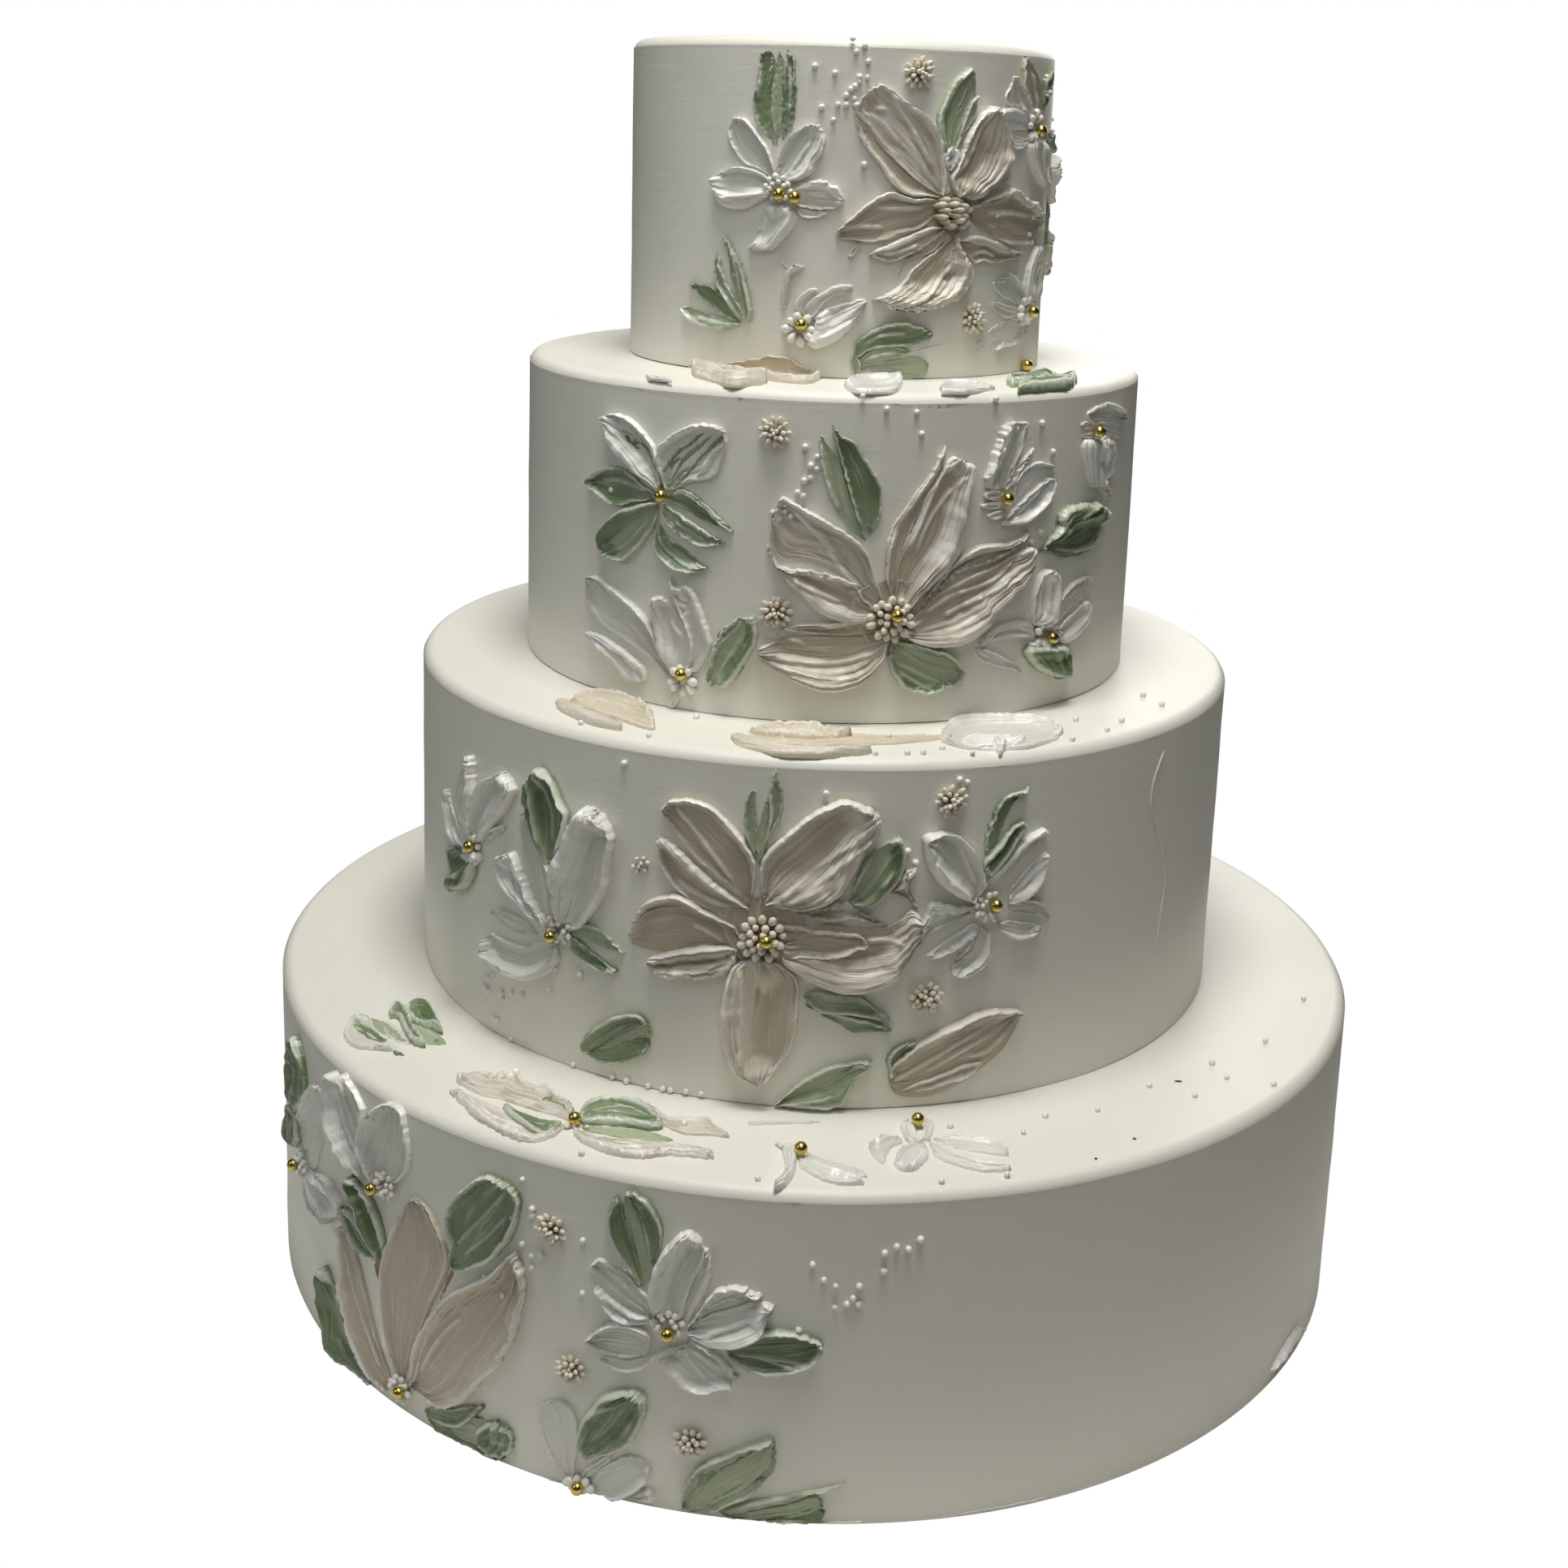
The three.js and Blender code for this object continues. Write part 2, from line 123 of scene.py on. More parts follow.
# The decorations that show from the front. A stroke is written as what it is like, its outline
# in brackets, then its ridges, if it has any, parted by semicolons; its places are given in the
# frame. An outline runs clockwise: from the heart along the left edge | the tip | back along the
# right edge. What it is like names its left side, then its right side; an icing other than the
# flower's own; and deep, thin, pale, streaky or low.
DRAWN = [
    dict(name="blush_flower_top", tier="top", icing="blush", heart=("stack", 1176, 263),
         strokes="""
edge rim pale [1162,243 1150,237 1128,221 1104,199 1083,178 1065,154 1053,140 1059,122 | 1072,109 |
 1085,103 1102,112 1121,126 1140,140 1153,155 1161,170 1165,208] 1068,137 1088,153 1109,178;
 1096,112 1128,165 1152,208; 1075,133 1098,136
bank flat [1164,245 1140,243 1122,242 1108,235 1095,221 1083,203 1070,187 1060,170 | 1054,143 |
 1066,156 1084,180 1105,201 1128,222 1152,238]
rim bank [1178,243 1170,222 1181,195 1191,166 1207,142 | 1226,130 | 1236,150 1246,178 1245,200
 1237,218 1221,233 1200,247] 1219,134 1203,172 1184,214
torn edge [1190,262 1208,249 1226,240 1240,234 1251,233 1264,244 1277,252 | 1281,274 | 1274,298
 1250,303 1222,291 1200,276] 1215,262 1245,262 1270,266
edge rim [1160,262 1135,283 1105,293 1075,300 1050,297 | 1030,290 | 1036,280 1052,264 1070,249
 1086,240 1101,236 1114,241 1128,244 1152,246] 1040,281 1062,279 1092,281; 1078,256 1110,257
 1142,256
bank bank [1058,298 1049,307 | 1046,317 | 1055,313 1061,304]
rim bank [1168,279 1150,299 1128,312 1108,321 1094,324 | 1071,315 | 1080,307 1097,299 1120,289
 1142,280] 1080,314 1105,311 1135,300
bank edge [1174,282 1165,297 1152,311 1130,318 1117,326 | 1108,342 | 1112,328 1122,317 1146,307
 1160,292]
crag edge [1178,290 1190,315 1198,330 1196,348 1186,364 1168,375 1150,382 1126,385 | 1103,383 |
 1085,372 1074,370 1095,360 1110,350 1125,330 1150,311 1166,298] 1172,326 1152,350 1137,366
 1110,376
bank rim [1180,297 1192,290 1206,289 1225,296 1243,305 | 1257,312 | 1240,322 1225,325 1210,322
 1202,325 1194,317 1184,307] 1196,316 1212,310 1228,317
sage edge edge thin [1172,200 1168,170 1180,140 1195,110 | 1202,84 | 1204,110 1202,145 1185,180]
sage bank edge [1168,200 1161,172 1155,150 1160,128 1170,106 1184,90 | 1200,82 | 1196,105 1186,130
 1176,160 1171,185]
sage bank bank pale [1172,200 1180,172 1187,145 1194,127 | 1205,117 | 1205,135 1200,150 1190,163
 1181,178 1177,194]
pearl crag crag [1172,212 1162,203 1164,190 | 1172,182 | 1182,188 1181,200]
"""),
    dict(name="blush_flower_second", tier="second", icing="blush", heart=("buds", 1098, 762),
         beads=[(1106, 759)], strokes="""
sage edge edge thin [1068,668 1048,655 1030,632 1019,602 1011,570 | 1010,536 | 1030,560 1044,600
 1052,635 1064,658] 1012,545 1014,575 1023,605 1036,633
sage rim rim deep [1072,660 1058,643 1050,620 1043,595 1036,571 1029,544 | 1026,524 | 1040,536
 1054,545 1066,563 1080,586 1088,610 1086,636 1079,652]
flat rim pale [1090,752 1062,732 1030,708 995,694 962,690 948,668 | 952,638 | 963,613 978,619
 1000,630 1020,642 1042,655 1059,668 1071,684 1077,706 1086,728] 976,628 1008,660 1042,708
 1062,728; 1003,650 1032,686
bank torn streaky [1088,762 1060,768 1040,768 1022,762 1003,750 985,732 967,712 953,693 | 946,668 |
 965,695 990,700 1012,703 1028,710 1045,714 1059,720 1066,737 1084,752] 975,712 1005,728 1040,745;
 962,692 1000,708 1032,716
edge bank streaky [1104,748 1102,700 1115,670 1128,645 1140,615 1155,590 1174,563 | 1190,568 |
 1200,574 1200,592 1194,616 1192,640 1187,667 1178,689 1160,711 1139,732 1122,750] 1190,582
 1171,605 1156,625 1141,650 1129,680; 1176,566 1160,586 1148,612 1136,642 1120,678
bank edge streaky [1099,742 1090,704 1092,670 1100,648 1115,626 1130,604 1144,586 1156,562 |
 1167,547 | 1164,575 1152,600 1137,628 1122,660 1110,702]
edge bank [1116,772 1135,750 1158,730 1190,712 1220,700 1248,684 | 1272,673 | 1270,700 1262,715
 1243,735 1224,758 1217,773 1197,787 1176,797 1152,799 1132,795 1117,787] 1138,757 1170,735
 1200,725 1225,714 1250,690; 1160,760 1190,744 1222,728 1246,708
bank torn [1133,750 1152,720 1165,704 1177,692 1192,680 1210,671 1242,667 | 1269,655 | 1252,675
 1234,686 1215,697 1191,703 1173,714 1150,738]
bank flat [1095,786 1090,812 1078,830 1060,845 1035,853 1010,851 985,843 965,833 945,820 | 932,802
 | 950,790 975,785 1010,784 1050,784 1080,781] 955,808 1000,816 1042,815 1078,803; 968,787 985,791
 996,798
rim bank [1090,777 1060,783 1030,784 1000,781 975,779 | 956,783 | 972,772 1000,768 1030,767
 1050,761 1070,763 1086,768]
sage rim torn [1098,790 1115,790 1145,798 1165,802 1180,812 | 1188,830 | 1184,843 1168,848 1155,855
 1135,857 1115,850 1102,835 1095,812] 1100,812 1125,826 1162,842; 1104,826 1130,842 1150,851
"""),
    dict(name="blush_flower_third", tier="third", icing="blush", heart=("buds", 939, 1156),
         beads=[(944, 1161)], strokes="""
sage rim bank [990,1228 1005,1221 1035,1226 1062,1228 1078,1242 | 1097,1256 | 1075,1256 1050,1252
 1020,1250 1000,1243]
sage bank rim [992,1240 1020,1245 1050,1252 1075,1258 | 1099,1270 | 1070,1273 1048,1272 1030,1262
 1008,1250]
edge bank [935,1180 965,1190 983,1207 985,1235 983,1262 978,1285 968,1305 952,1322 | 938,1336 |
 920,1330 905,1322 895,1300 888,1270 888,1240 893,1215 905,1188] 914,1190 916,1250 913,1310;
 899,1200 896,1240 898,1275
flat bank [960,1165 985,1150 1020,1140 1060,1145 1100,1140 1124,1121 | 1137,1140 | 1128,1168
 1118,1186 1105,1205 1085,1216 1060,1223 1034,1224 1009,1215 988,1203 966,1188] 1064,1160 1090,1158
 1116,1161
rim rim [958,1163 962,1142 980,1141 1000,1144 1022,1147 1048,1150 1062,1153 | 1070,1164 | 1055,1174
 1033,1180 1009,1181 985,1180 966,1182]
rim bank [942,1114 937,1092 936,1070 944,1050 958,1035 980,1018 1003,1000 1024,990 1043,985 |
 1078,998 | 1086,1010 1083,1026 1072,1042 1061,1062 1050,1084 1036,1104 1015,1117 990,1123
 966,1119] 1082,1006 1050,1036 1015,1062 985,1087 958,1110; 1080,1027 1040,1059 1000,1092
torn torn pale [960,1122 985,1117 1010,1119 1030,1112 1050,1114 1065,1124 1085,1134 | 1102,1146 |
 1080,1141 1055,1134 1030,1137 1000,1131 978,1127]
edge rim [924,1114 900,1096 872,1072 848,1050 830,1022 | 816,998 | 828,985 846,984 867,989 887,1001
 906,1020 919,1038 930,1060 932,1085] 832,993 858,1025 885,1062 905,1088
rim bank [924,1120 905,1126 880,1124 860,1116 840,1102 823,1083 813,1060 | 813,1030 | 832,1042
 852,1060 876,1083 904,1104] 830,1080 850,1096 880,1112 905,1118
flat rim [914,1156 885,1165 850,1170 815,1174 780,1166 | 777,1147 | 787,1123 799,1109 816,1103
 838,1102 858,1113 880,1128 904,1140] 850,1138 872,1148 895,1163
crag bank [910,1170 905,1190 890,1203 865,1207 840,1205 818,1207 802,1192 | 797,1180 | 808,1176
 830,1171 865,1164 896,1166] 812,1193 840,1197 870,1193 897,1180
"""),
    dict(name="leaf_third_up", tier="third", icing="sage", strokes="""
edge edge thin [934,1068 930,1040 936,1010 | 945,985 | 950,1010 946,1040]
bank edge [931,1060 921,1040 916,1010 918,990 | 927,973 | 931,990 932,1015 934,1040]
bank bank [935,1066 941,1040 947,1012 947,975 | 954,949 | 963,968 966,990 962,1010 950,1028
 941,1050]
"""),
    dict(name="leaf_third_right", tier="third", icing="sage", strokes="""
edge bank [1046,1112 1052,1090 1064,1062 1080,1046 1095,1038 | 1109,1030 | 1116,1046 1114,1070
 1105,1090 1090,1105 1075,1117 1060,1118] 1048,1105 1062,1080 1078,1052; 1084,1096 1104,1068
blush crag edge [1098,1100 1110,1085 1118,1072 | 1128,1064 | 1126,1080 1120,1095 1132,1118
 1118,1110 1108,1104]
"""),
    dict(name="blush_flower_base", tier="base", icing="blush", heart=("small", 490, 1712),
         beads=[(491, 1716)], strokes="""
sage bank edge deep [458,1706 437,1702 421,1699 410,1685 405,1660 402,1630 397,1600 | 399,1560 |
 412,1585 418,1605 424,1630 432,1655 443,1678 455,1694]
rim edge thin [476,1714 455,1697 440,1665 430,1640 424,1610 421,1575 419,1540 | 420,1508 | 436,1540
 447,1580 457,1620 467,1660 480,1697] 424,1535 432,1575 442,1612 456,1650 470,1690
edge edge thin [492,1706 483,1680 474,1655 469,1620 467,1585 469,1555 477,1525 490,1500 | 506,1477
 | 523,1484 537,1508 549,1536 553,1558 544,1585 530,1612 518,1645 506,1678] 468,1600 472,1640
 481,1674; 490,1500 478,1530
rim torn thin [506,1710 506,1682 516,1645 530,1622 548,1599 575,1582 605,1568 | 636,1541 | 646,1570
 646,1605 639,1637 629,1660 612,1684 596,1700 583,1720 560,1732 542,1735 525,1724] 516,1694
 530,1665 548,1640 570,1622
bank bank [500,1712 506,1684 512,1662 521,1640 | 532,1620 | 529,1645 519,1672 513,1698]
sage rim bank deep [521,1738 534,1731 555,1736 575,1732 | 596,1733 | 583,1748 568,1759 550,1757
 532,1750]
sage edge edge thin [540,1750 560,1752 580,1745 600,1755 | 600,1780 | 575,1778 555,1765]
sage edge bank deep [523,1742 545,1757 565,1770 590,1782 610,1786 | 621,1797 | 610,1805 585,1802
 565,1794 553,1780 536,1764]
sage bank torn deep [602,1790 590,1777 588,1763 598,1753 | 613,1750 | 628,1760 634,1778 628,1792
 616,1797] 604,1768 612,1776 628,1780
"""),
    dict(name="leaf_base_oval", tier="base", icing="sage", strokes="""
stem edge edge [556,1560 549,1577 | 541,1602 | 546,1592 556,1572]
rim rim deep [557,1565 553,1550 556,1532 551,1512 552,1492 563,1472 580,1456 600,1447 | 626,1457 |
 640,1475 638,1505 628,1530 610,1551 588,1562 570,1567] 562,1534 582,1512 602,1492 624,1466;
 570,1548 600,1524 628,1495
"""),
    dict(name="white_flower_base_left", tier="base", icing="pearl", body=1.35, heart=("small",
         472, 1461), beads=[(457, 1465)], strokes="""
sage rim rim deep [463,1553 446,1542 434,1528 427,1510 421,1497 | 421,1487 | 432,1492 445,1510
 455,1530 465,1546] 435,1505 448,1528
sage bank rim deep [467,1553 455,1525 444,1497 433,1468 429,1455 | 434,1447 | 447,1465 458,1480
 467,1500 472,1520 474,1536]
stem edge edge [463,1546 461,1560 | 466,1576 | 470,1560 470,1548]
rim edge thin [462,1460 450,1430 443,1405 448,1380 462,1367 | 480,1356 | 495,1368 501,1390 505,1415
 505,1435 497,1450 485,1460] 497,1375 503,1392 500,1410
edge bank [450,1444 440,1415 442,1388 438,1365 430,1345 | 423,1322 | 436,1340 445,1357 450,1368
 447,1390 448,1420]
bank edge streaky [448,1452 434,1440 425,1425 414,1398 408,1372 407,1340 | 413,1318 | 422,1345
 430,1370 440,1400 449,1432] 415,1335 422,1375 432,1405 440,1425
"""),
    dict(name="white_flower_base_edge", tier="base", icing="pearl", body=0.6, heart=("small", 369,
         1435), beads=[(361, 1435)], strokes="""
rim edge thin [372,1420 364,1392 368,1368 378,1343 | 388,1337 | 397,1360 396,1390 386,1412]
rim edge [381,1442 380,1425 388,1400 | 396,1374 | 398,1395 392,1420 388,1440]
bank rim [382,1441 400,1452 415,1470 421,1488 | 408,1506 | 390,1499 378,1484 374,1465 376,1450]
 384,1450 396,1458 408,1470
"""),
    dict(name="leaf_base_edge", tier="base", icing="sage", body=0.6, strokes="""
bank bank deep [367,1370 358,1352 355,1325 356,1300 | 364,1276 | 370,1293 375,1320 377,1345
 373,1360] 360,1300 366,1320 368,1350
bank bank deep [366,1414 355,1405 353,1390 356,1370 | 361,1358 | 367,1375 368,1395 370,1408]
"""),
    dict(name="white_flower_top_left", tier="top", icing="pearl", heart=("dots", 958, 232),
         beads=[(959, 239), (979, 243)], strokes="""
edge rim [952,222 935,210 915,201 905,188 898,175 897,158 | 906,144 | 919,146 929,157 939,170
 947,184 953,203]
rim bank [957,222 957,200 965,178 976,166 988,156 | 1007,150 | 1018,168 1016,186 1007,199 1002,212
 988,222 970,227] 974,213 986,194 1001,173
bank rim [952,240 935,250 920,258 903,259 888,252 880,238 | 878,226 | 886,214 896,207 908,204
 922,206 936,211 949,221] 888,246 905,242 925,240 942,239
crag edge [970,238 984,228 1000,222 1016,222 1030,228 1037,236 | 1041,248 | 1032,257 1018,260
 1000,258 983,254] 992,240 1010,240 1026,245
edge rim [978,255 992,257 1008,259 | 1020,263 | 1008,269 995,270 985,266]
bank edge [962,252 976,257 983,266 981,275 973,287 961,301 950,309 | 925,309 | 930,295 932,278
 936,262 946,252] 963,262 957,285 944,301
"""),
    dict(name="leaf_top_left", tier="top", icing="sage", strokes="""
edge edge thin [957,184 950,150 949,110 953,80 | 960,61 | 967,80 966,120 963,152]
rim edge deep [955,180 944,168 934,154 929,136 928,120 932,98 935,78 936,66 | 948,62 | 956,76
 952,100 950,130 952,158] 938,75 937,100 933,125
bank torn deep [963,174 962,150 962,120 964,90 966,70 | 971,59 | 979,70 982,90 983,115 981,138
 976,156 968,170] 972,75 974,110 972,145
"""),
    dict(name="star_flower_second", tier="second", icing="sage", heart=("none", 814, 611),
         beads=[(814, 611)], strokes="""
pearl bank rim [811,604 798,594 785,586 775,575 762,561 753,547 749,530 | 745,514 | 759,508 772,513
 785,522 797,537 806,550 812,575 815,595]
edge rim deep [815,606 800,586 787,566 774,549 | 766,529 | 780,537 795,551 806,567 817,590]
pearl rim edge [820,604 812,580 809,552 822,539 834,530 846,525 862,522 878,522 | 891,528 | 895,545
 890,565 883,584 872,592 850,596 834,604]
rim edge deep [817,604 815,585 822,567 835,551 850,543 864,533 | 886,529 | 890,540 876,553 860,570
 845,588 832,602]
pearl bank edge [853,594 862,578 873,560 884,548 | 894,546 | 892,560 884,580 874,592]
rim rim deep [809,613 795,618 780,620 765,624 752,622 740,610 | 724,594 | 732,584 742,576 755,573
 768,575 780,586 793,597 805,605] 740,592 760,592 780,598 800,607
pearl edge bank [790,591 775,583 760,578 745,581 | 726,592 | 738,577 752,572 766,574 780,584]
rim bank [811,620 808,645 797,664 786,678 774,688 763,691 | 745,684 | 738,672 739,655 747,642
 757,632 768,625 785,621 800,618] 800,640 780,662 760,680
bank edge deep [819,612 835,603 850,606 864,616 878,628 890,640 | 902,655 | 885,650 868,643 850,632
 832,623]
edge bank deep streaky [812,646 826,664 840,674 852,684 862,694 | 871,701 | 857,707 843,707 829,702
 817,693 808,683 804,672 806,658]
rim torn streaky [817,621 835,630 852,641 868,652 882,661 | 894,671 | 872,675 857,671 844,664
 832,658 820,646 815,634] 828,640 850,656 870,668; 835,636 860,652 880,666
pearl edge edge [875,682 890,694 | 906,707 | 889,697]
"""),
    dict(name="white_flower_second_left", tier="second", icing="pearl", heart=("petals", 839,
         840), beads=[(839, 831)], strokes="""
edge rim thin [822,834 805,815 770,790 738,768 724,745 721,725 | 723,711 | 735,709 760,728 785,749
 801,769 812,800 826,828]
rim bank thin [846,828 850,805 847,780 836,755 829,735 | 826,712 | 832,722 845,719 856,728 866,752
 873,775 877,795 870,812 858,828] 836,728 841,738 852,741; 834,737 843,748 851,744; 842,752 846,757
 850,749
bank edge [828,832 813,805 806,780 803,755 801,741 | 812,733 | 826,742 836,760 847,780 851,810
 846,829] 825,762 833,777 846,788
bank bank pale [789,842 772,838 755,815 738,797 | 724,778 | 742,784 765,798 790,818 797,830
 795,839]
bank bank [836,848 828,862 825,878 | 826,891 | 830,891 831,875 834,864 843,852]
"""),
    dict(name="leaf_second_left", tier="second", icing="sage", strokes="""
torn bank [876,846 868,836 872,820 879,802 880,790 889,775 900,766 914,758 | 929,758 | 934,770
 933,790 926,806 915,822 905,838 889,849] 877,826 880,803 898,784 918,762; 885,843 890,824 905,800
crag crag [880,792 882,782 890,772 903,767 | 914,762 | 906,772 895,777 886,790]
edge bank deep [884,846 884,832 893,816 906,800 | 919,793 | 926,800 918,818 905,838 892,848]
"""),
    dict(name="white_flower_second_upper", tier="second", icing="pearl", beads=[(1242, 615)],
         strokes="""
crag edge [1224,607 1214,598 1217,575 1225,553 1235,530 | 1240,520 | 1254,520 1269,521 1262,537
 1262,550 1250,578 1240,602]
crag crag pale [1236,606 1243,590 1254,571 1263,561 | 1275,545 | 1269,563 1259,580 1250,599]
rim flat deep [1250,608 1252,592 1262,577 1278,569 1292,570 | 1300,577 | 1298,584 1285,590 1270,601
 1256,614 1249,622]
rim bank pale [1240,640 1255,622 1275,603 1289,591 | 1298,589 | 1299,601 1293,616 1283,631 1270,642
 1255,647 1235,648] 1252,636 1268,619 1286,599
bank bank [1235,605 1222,603 | 1213,610 | 1222,617 1236,613]
bank bank [1234,619 1220,619 | 1210,624 | 1220,628 1234,627]
bank bank [1238,628 1226,631 | 1217,636 | 1226,641 1240,635]
"""),
    dict(name="white_flower_second_edge", tier="second", icing="pearl", body=0.6, beads=[(1355,
         532)], strokes="""
rim flat deep [1345,524 1341,511 1352,501 1365,496 1379,499 | 1390,515 | 1384,520 1384,535 1374,535
 1362,527]
rim bank [1362,536 1374,547 1375,565 1370,585 1361,592 | 1364,617 | 1356,604 1343,598 1337,575
 1333,555 1336,542 1348,540] 1352,548 1362,560 1363,580
bank bank [1350,519 1341,519 | 1333,524 | 1341,529 1350,528]
bank bank [1350,533 1341,533 | 1333,537 | 1341,541 1350,540]
bank bank [1354,521 1361,519 | 1369,525 | 1361,529 1355,526]
crag crag [1362,533 1370,531 | 1382,537 | 1370,539 1362,538]
"""),
    dict(name="leaf_second_right", tier="second", icing="sage", strokes="""
crag edge deep [1284,678 1289,664 1301,650 1304,635 1314,624 1330,618 1346,617 | 1357,624 |
 1357,645 1352,665 1340,680 1322,688 1304,687 1292,681] 1324,640 1336,629 1351,620; 1300,676
 1330,677 1350,668
rim bank pale [1303,651 1303,638 1310,627 1320,622 | 1328,624 | 1321,633 1313,644]
edge edge thin [1277,681 1285,671 | 1300,660 | 1295,672 1282,684]
"""),
    dict(name="white_flower_second_right", tier="second", icing="pearl", heart=("petals", 1290,
         782), beads=[(1297, 786)], strokes="""
sage edge bank deep [1296,794 1312,796 1322,803 1321,816 1314,829 | 1302,836 | 1285,830 1270,818
 1261,806 1266,797 1280,794]
rim bank [1274,772 1271,752 1274,730 1280,711 1287,702 | 1296,701 | 1303,710 1305,728 1302,748
 1298,768] 1287,705 1283,730 1281,760; 1293,712 1290,735 1287,760
rim edge [1301,769 1301,750 1308,735 1322,719 1334,712 | 1344,711 | 1341,722 1338,736 1325,745
 1311,760 1304,772]
edge bank [1304,776 1315,763 1328,752 | 1341,740 | 1344,755 1338,770 1325,785 1311,793 1304,790]
edge bank [1275,788 1255,786 1232,788 | 1208,793 | 1221,778 1239,768 1258,764 1275,771] 1218,788
 1245,784 1272,784
edge rim pale [1203,799 1222,801 1240,810 1255,819 | 1259,828 | 1246,826 1228,822 1212,815
 1203,807]
bank bank [1288,791 1292,800 | 1284,807 | 1271,799 1270,793 1280,789]
"""),
    dict(name="white_flower_third_edge", tier="third", icing="pearl", heart=("petals", 580, 1046),
         beads=[(578, 1043)], strokes="""
bank edge deep sage [584,1050 588,1062 586,1075 579,1092 | 566,1097 | 555,1090 554,1070 552,1057
 548,1048 558,1043 572,1048] 556,1068 563,1078 578,1073
edge crag [574,1040 569,1018 561,1000 557,985 560,965 568,942 | 579,929 | 584,940 585,958 585,977
 582,1000 580,1036]
rim bank [583,1037 580,1010 584,982 593,964 606,956 | 623,952 | 636,973 629,986 621,1001 611,1015
 600,1028 590,1038]
rim edge [587,1037 596,1025 610,1018 | 622,1019 | 612,1034 598,1042 588,1043]
bank edge [572,1046 560,1040 552,1025 550,1000 548,982 | 551,971 | 554,990 560,1010 567,1030
 574,1040]
bank bank [586,1047 592,1057 | 585,1063 | 574,1058 573,1050]
"""),
    dict(name="white_flower_third_left", tier="third", icing="pearl", body=1.35, heart=("small",
         688, 1146), beads=[(678, 1154)], strokes="""
sage bank rim deep [676,1064 665,1040 655,1012 650,985 651,965 658,950 | 668,944 | 683,962 692,985
 700,999 700,1015 694,1035 685,1058] 668,948 673,975 680,1000 681,1042; 660,960 664,1000 672,1040
edge edge thin [662,1152 640,1151 620,1141 | 601,1123 | 616,1121 631,1126 645,1133 656,1144]
bank edge thin [686,1164 688,1185 672,1202 650,1207 630,1203 612,1191 600,1179 | 596,1164 |
 602,1150 620,1157 645,1166 666,1160]
edge rim [672,1142 661,1112 650,1072 642,1042 638,1015 | 647,1001 | 656,1021 666,1043 677,1065
 685,1085 690,1110 694,1140] 662,1050 670,1090 676,1130
bank rim [690,1142 684,1110 681,1075 689,1053 700,1030 709,1009 722,993 | 738,999 | 750,1013
 758,1034 752,1060 749,1092 740,1113 727,1132 714,1145] 728,1006 731,1012 737,1004
bank crag pale [674,1150 660,1132 644,1115 629,1100 619,1085 616,1068 | 621,1050 | 634,1050
 643,1070 653,1095 664,1117 676,1138]
sage rim edge [704,1143 716,1139 732,1141 749,1154 | 771,1176 | 755,1172 735,1165 715,1158
 703,1152]
sage rim bank deep [703,1153 716,1160 735,1177 750,1188 | 762,1197 | 745,1200 725,1191 708,1179
 700,1167]
bank bank [682,1137 692,1131 | 702,1134 | 692,1142 684,1142]
bank bank [686,1146 696,1141 | 707,1146 | 696,1152 688,1151]
"""),
    dict(name="white_flower_third_right", tier="third", icing="pearl", body=1.35, heart=("small",
         1218, 1118), beads=[(1228, 1116)], strokes="""
sage crag edge deep [1214,1048 1212,1034 1218,1015 1225,999 1235,984 1250,974 | 1267,966 | 1263,977
 1252,988 1242,1004 1234,1022 1226,1046]
sage bank bank deep [1213,1074 1211,1060 1225,1044 1240,1024 1250,1014 | 1263,1011 | 1259,1026
 1251,1041 1241,1056 1229,1071 1220,1080]
bank rim [1200,1113 1180,1106 1160,1092 1148,1077 1140,1057 1138,1042 | 1136,1032 | 1150,1026
 1165,1024 1180,1028 1192,1039 1203,1051 1209,1068 1214,1090] 1146,1056 1170,1082 1197,1107;
 1178,1034 1192,1064 1204,1092
bank edge pale [1214,1092 1222,1078 1240,1059 1255,1041 1268,1030 | 1288,1021 | 1284,1036 1266,1052
 1251,1071 1241,1086 1231,1098]
edge bank pale [1242,1109 1245,1098 1258,1080 1272,1065 | 1290,1049 | 1289,1068 1281,1090 1269,1105
 1256,1112 1243,1114] 1256,1098 1270,1080 1284,1062
rim edge thin [1244,1113 1260,1110 1276,1108 1288,1115 | 1294,1131 | 1280,1129 1262,1126 1244,1123]
edge bank [1232,1138 1246,1135 1263,1137 | 1283,1142 | 1272,1154 1258,1159 1245,1156 1232,1147]
bank edge [1220,1147 1223,1165 1218,1181 1205,1196 1188,1204 | 1172,1204 | 1173,1192 1185,1183
 1196,1171 1204,1155 1210,1143]
crag edge pale [1208,1144 1196,1160 1179,1171 1160,1179 | 1142,1179 | 1157,1165 1174,1155 1189,1145
 1203,1137]
edge crag pale [1201,1125 1180,1136 1157,1146 1142,1154 | 1127,1169 | 1131,1150 1139,1130 1149,1111
 1165,1114 1182,1115 1201,1114]
rim edge [1203,1150 1196,1168 | 1177,1184 | 1178,1170 1190,1157]
"""),
    dict(name="white_flower_base_mid", tier="base", icing="pearl", body=1.35, heart=("small", 822,
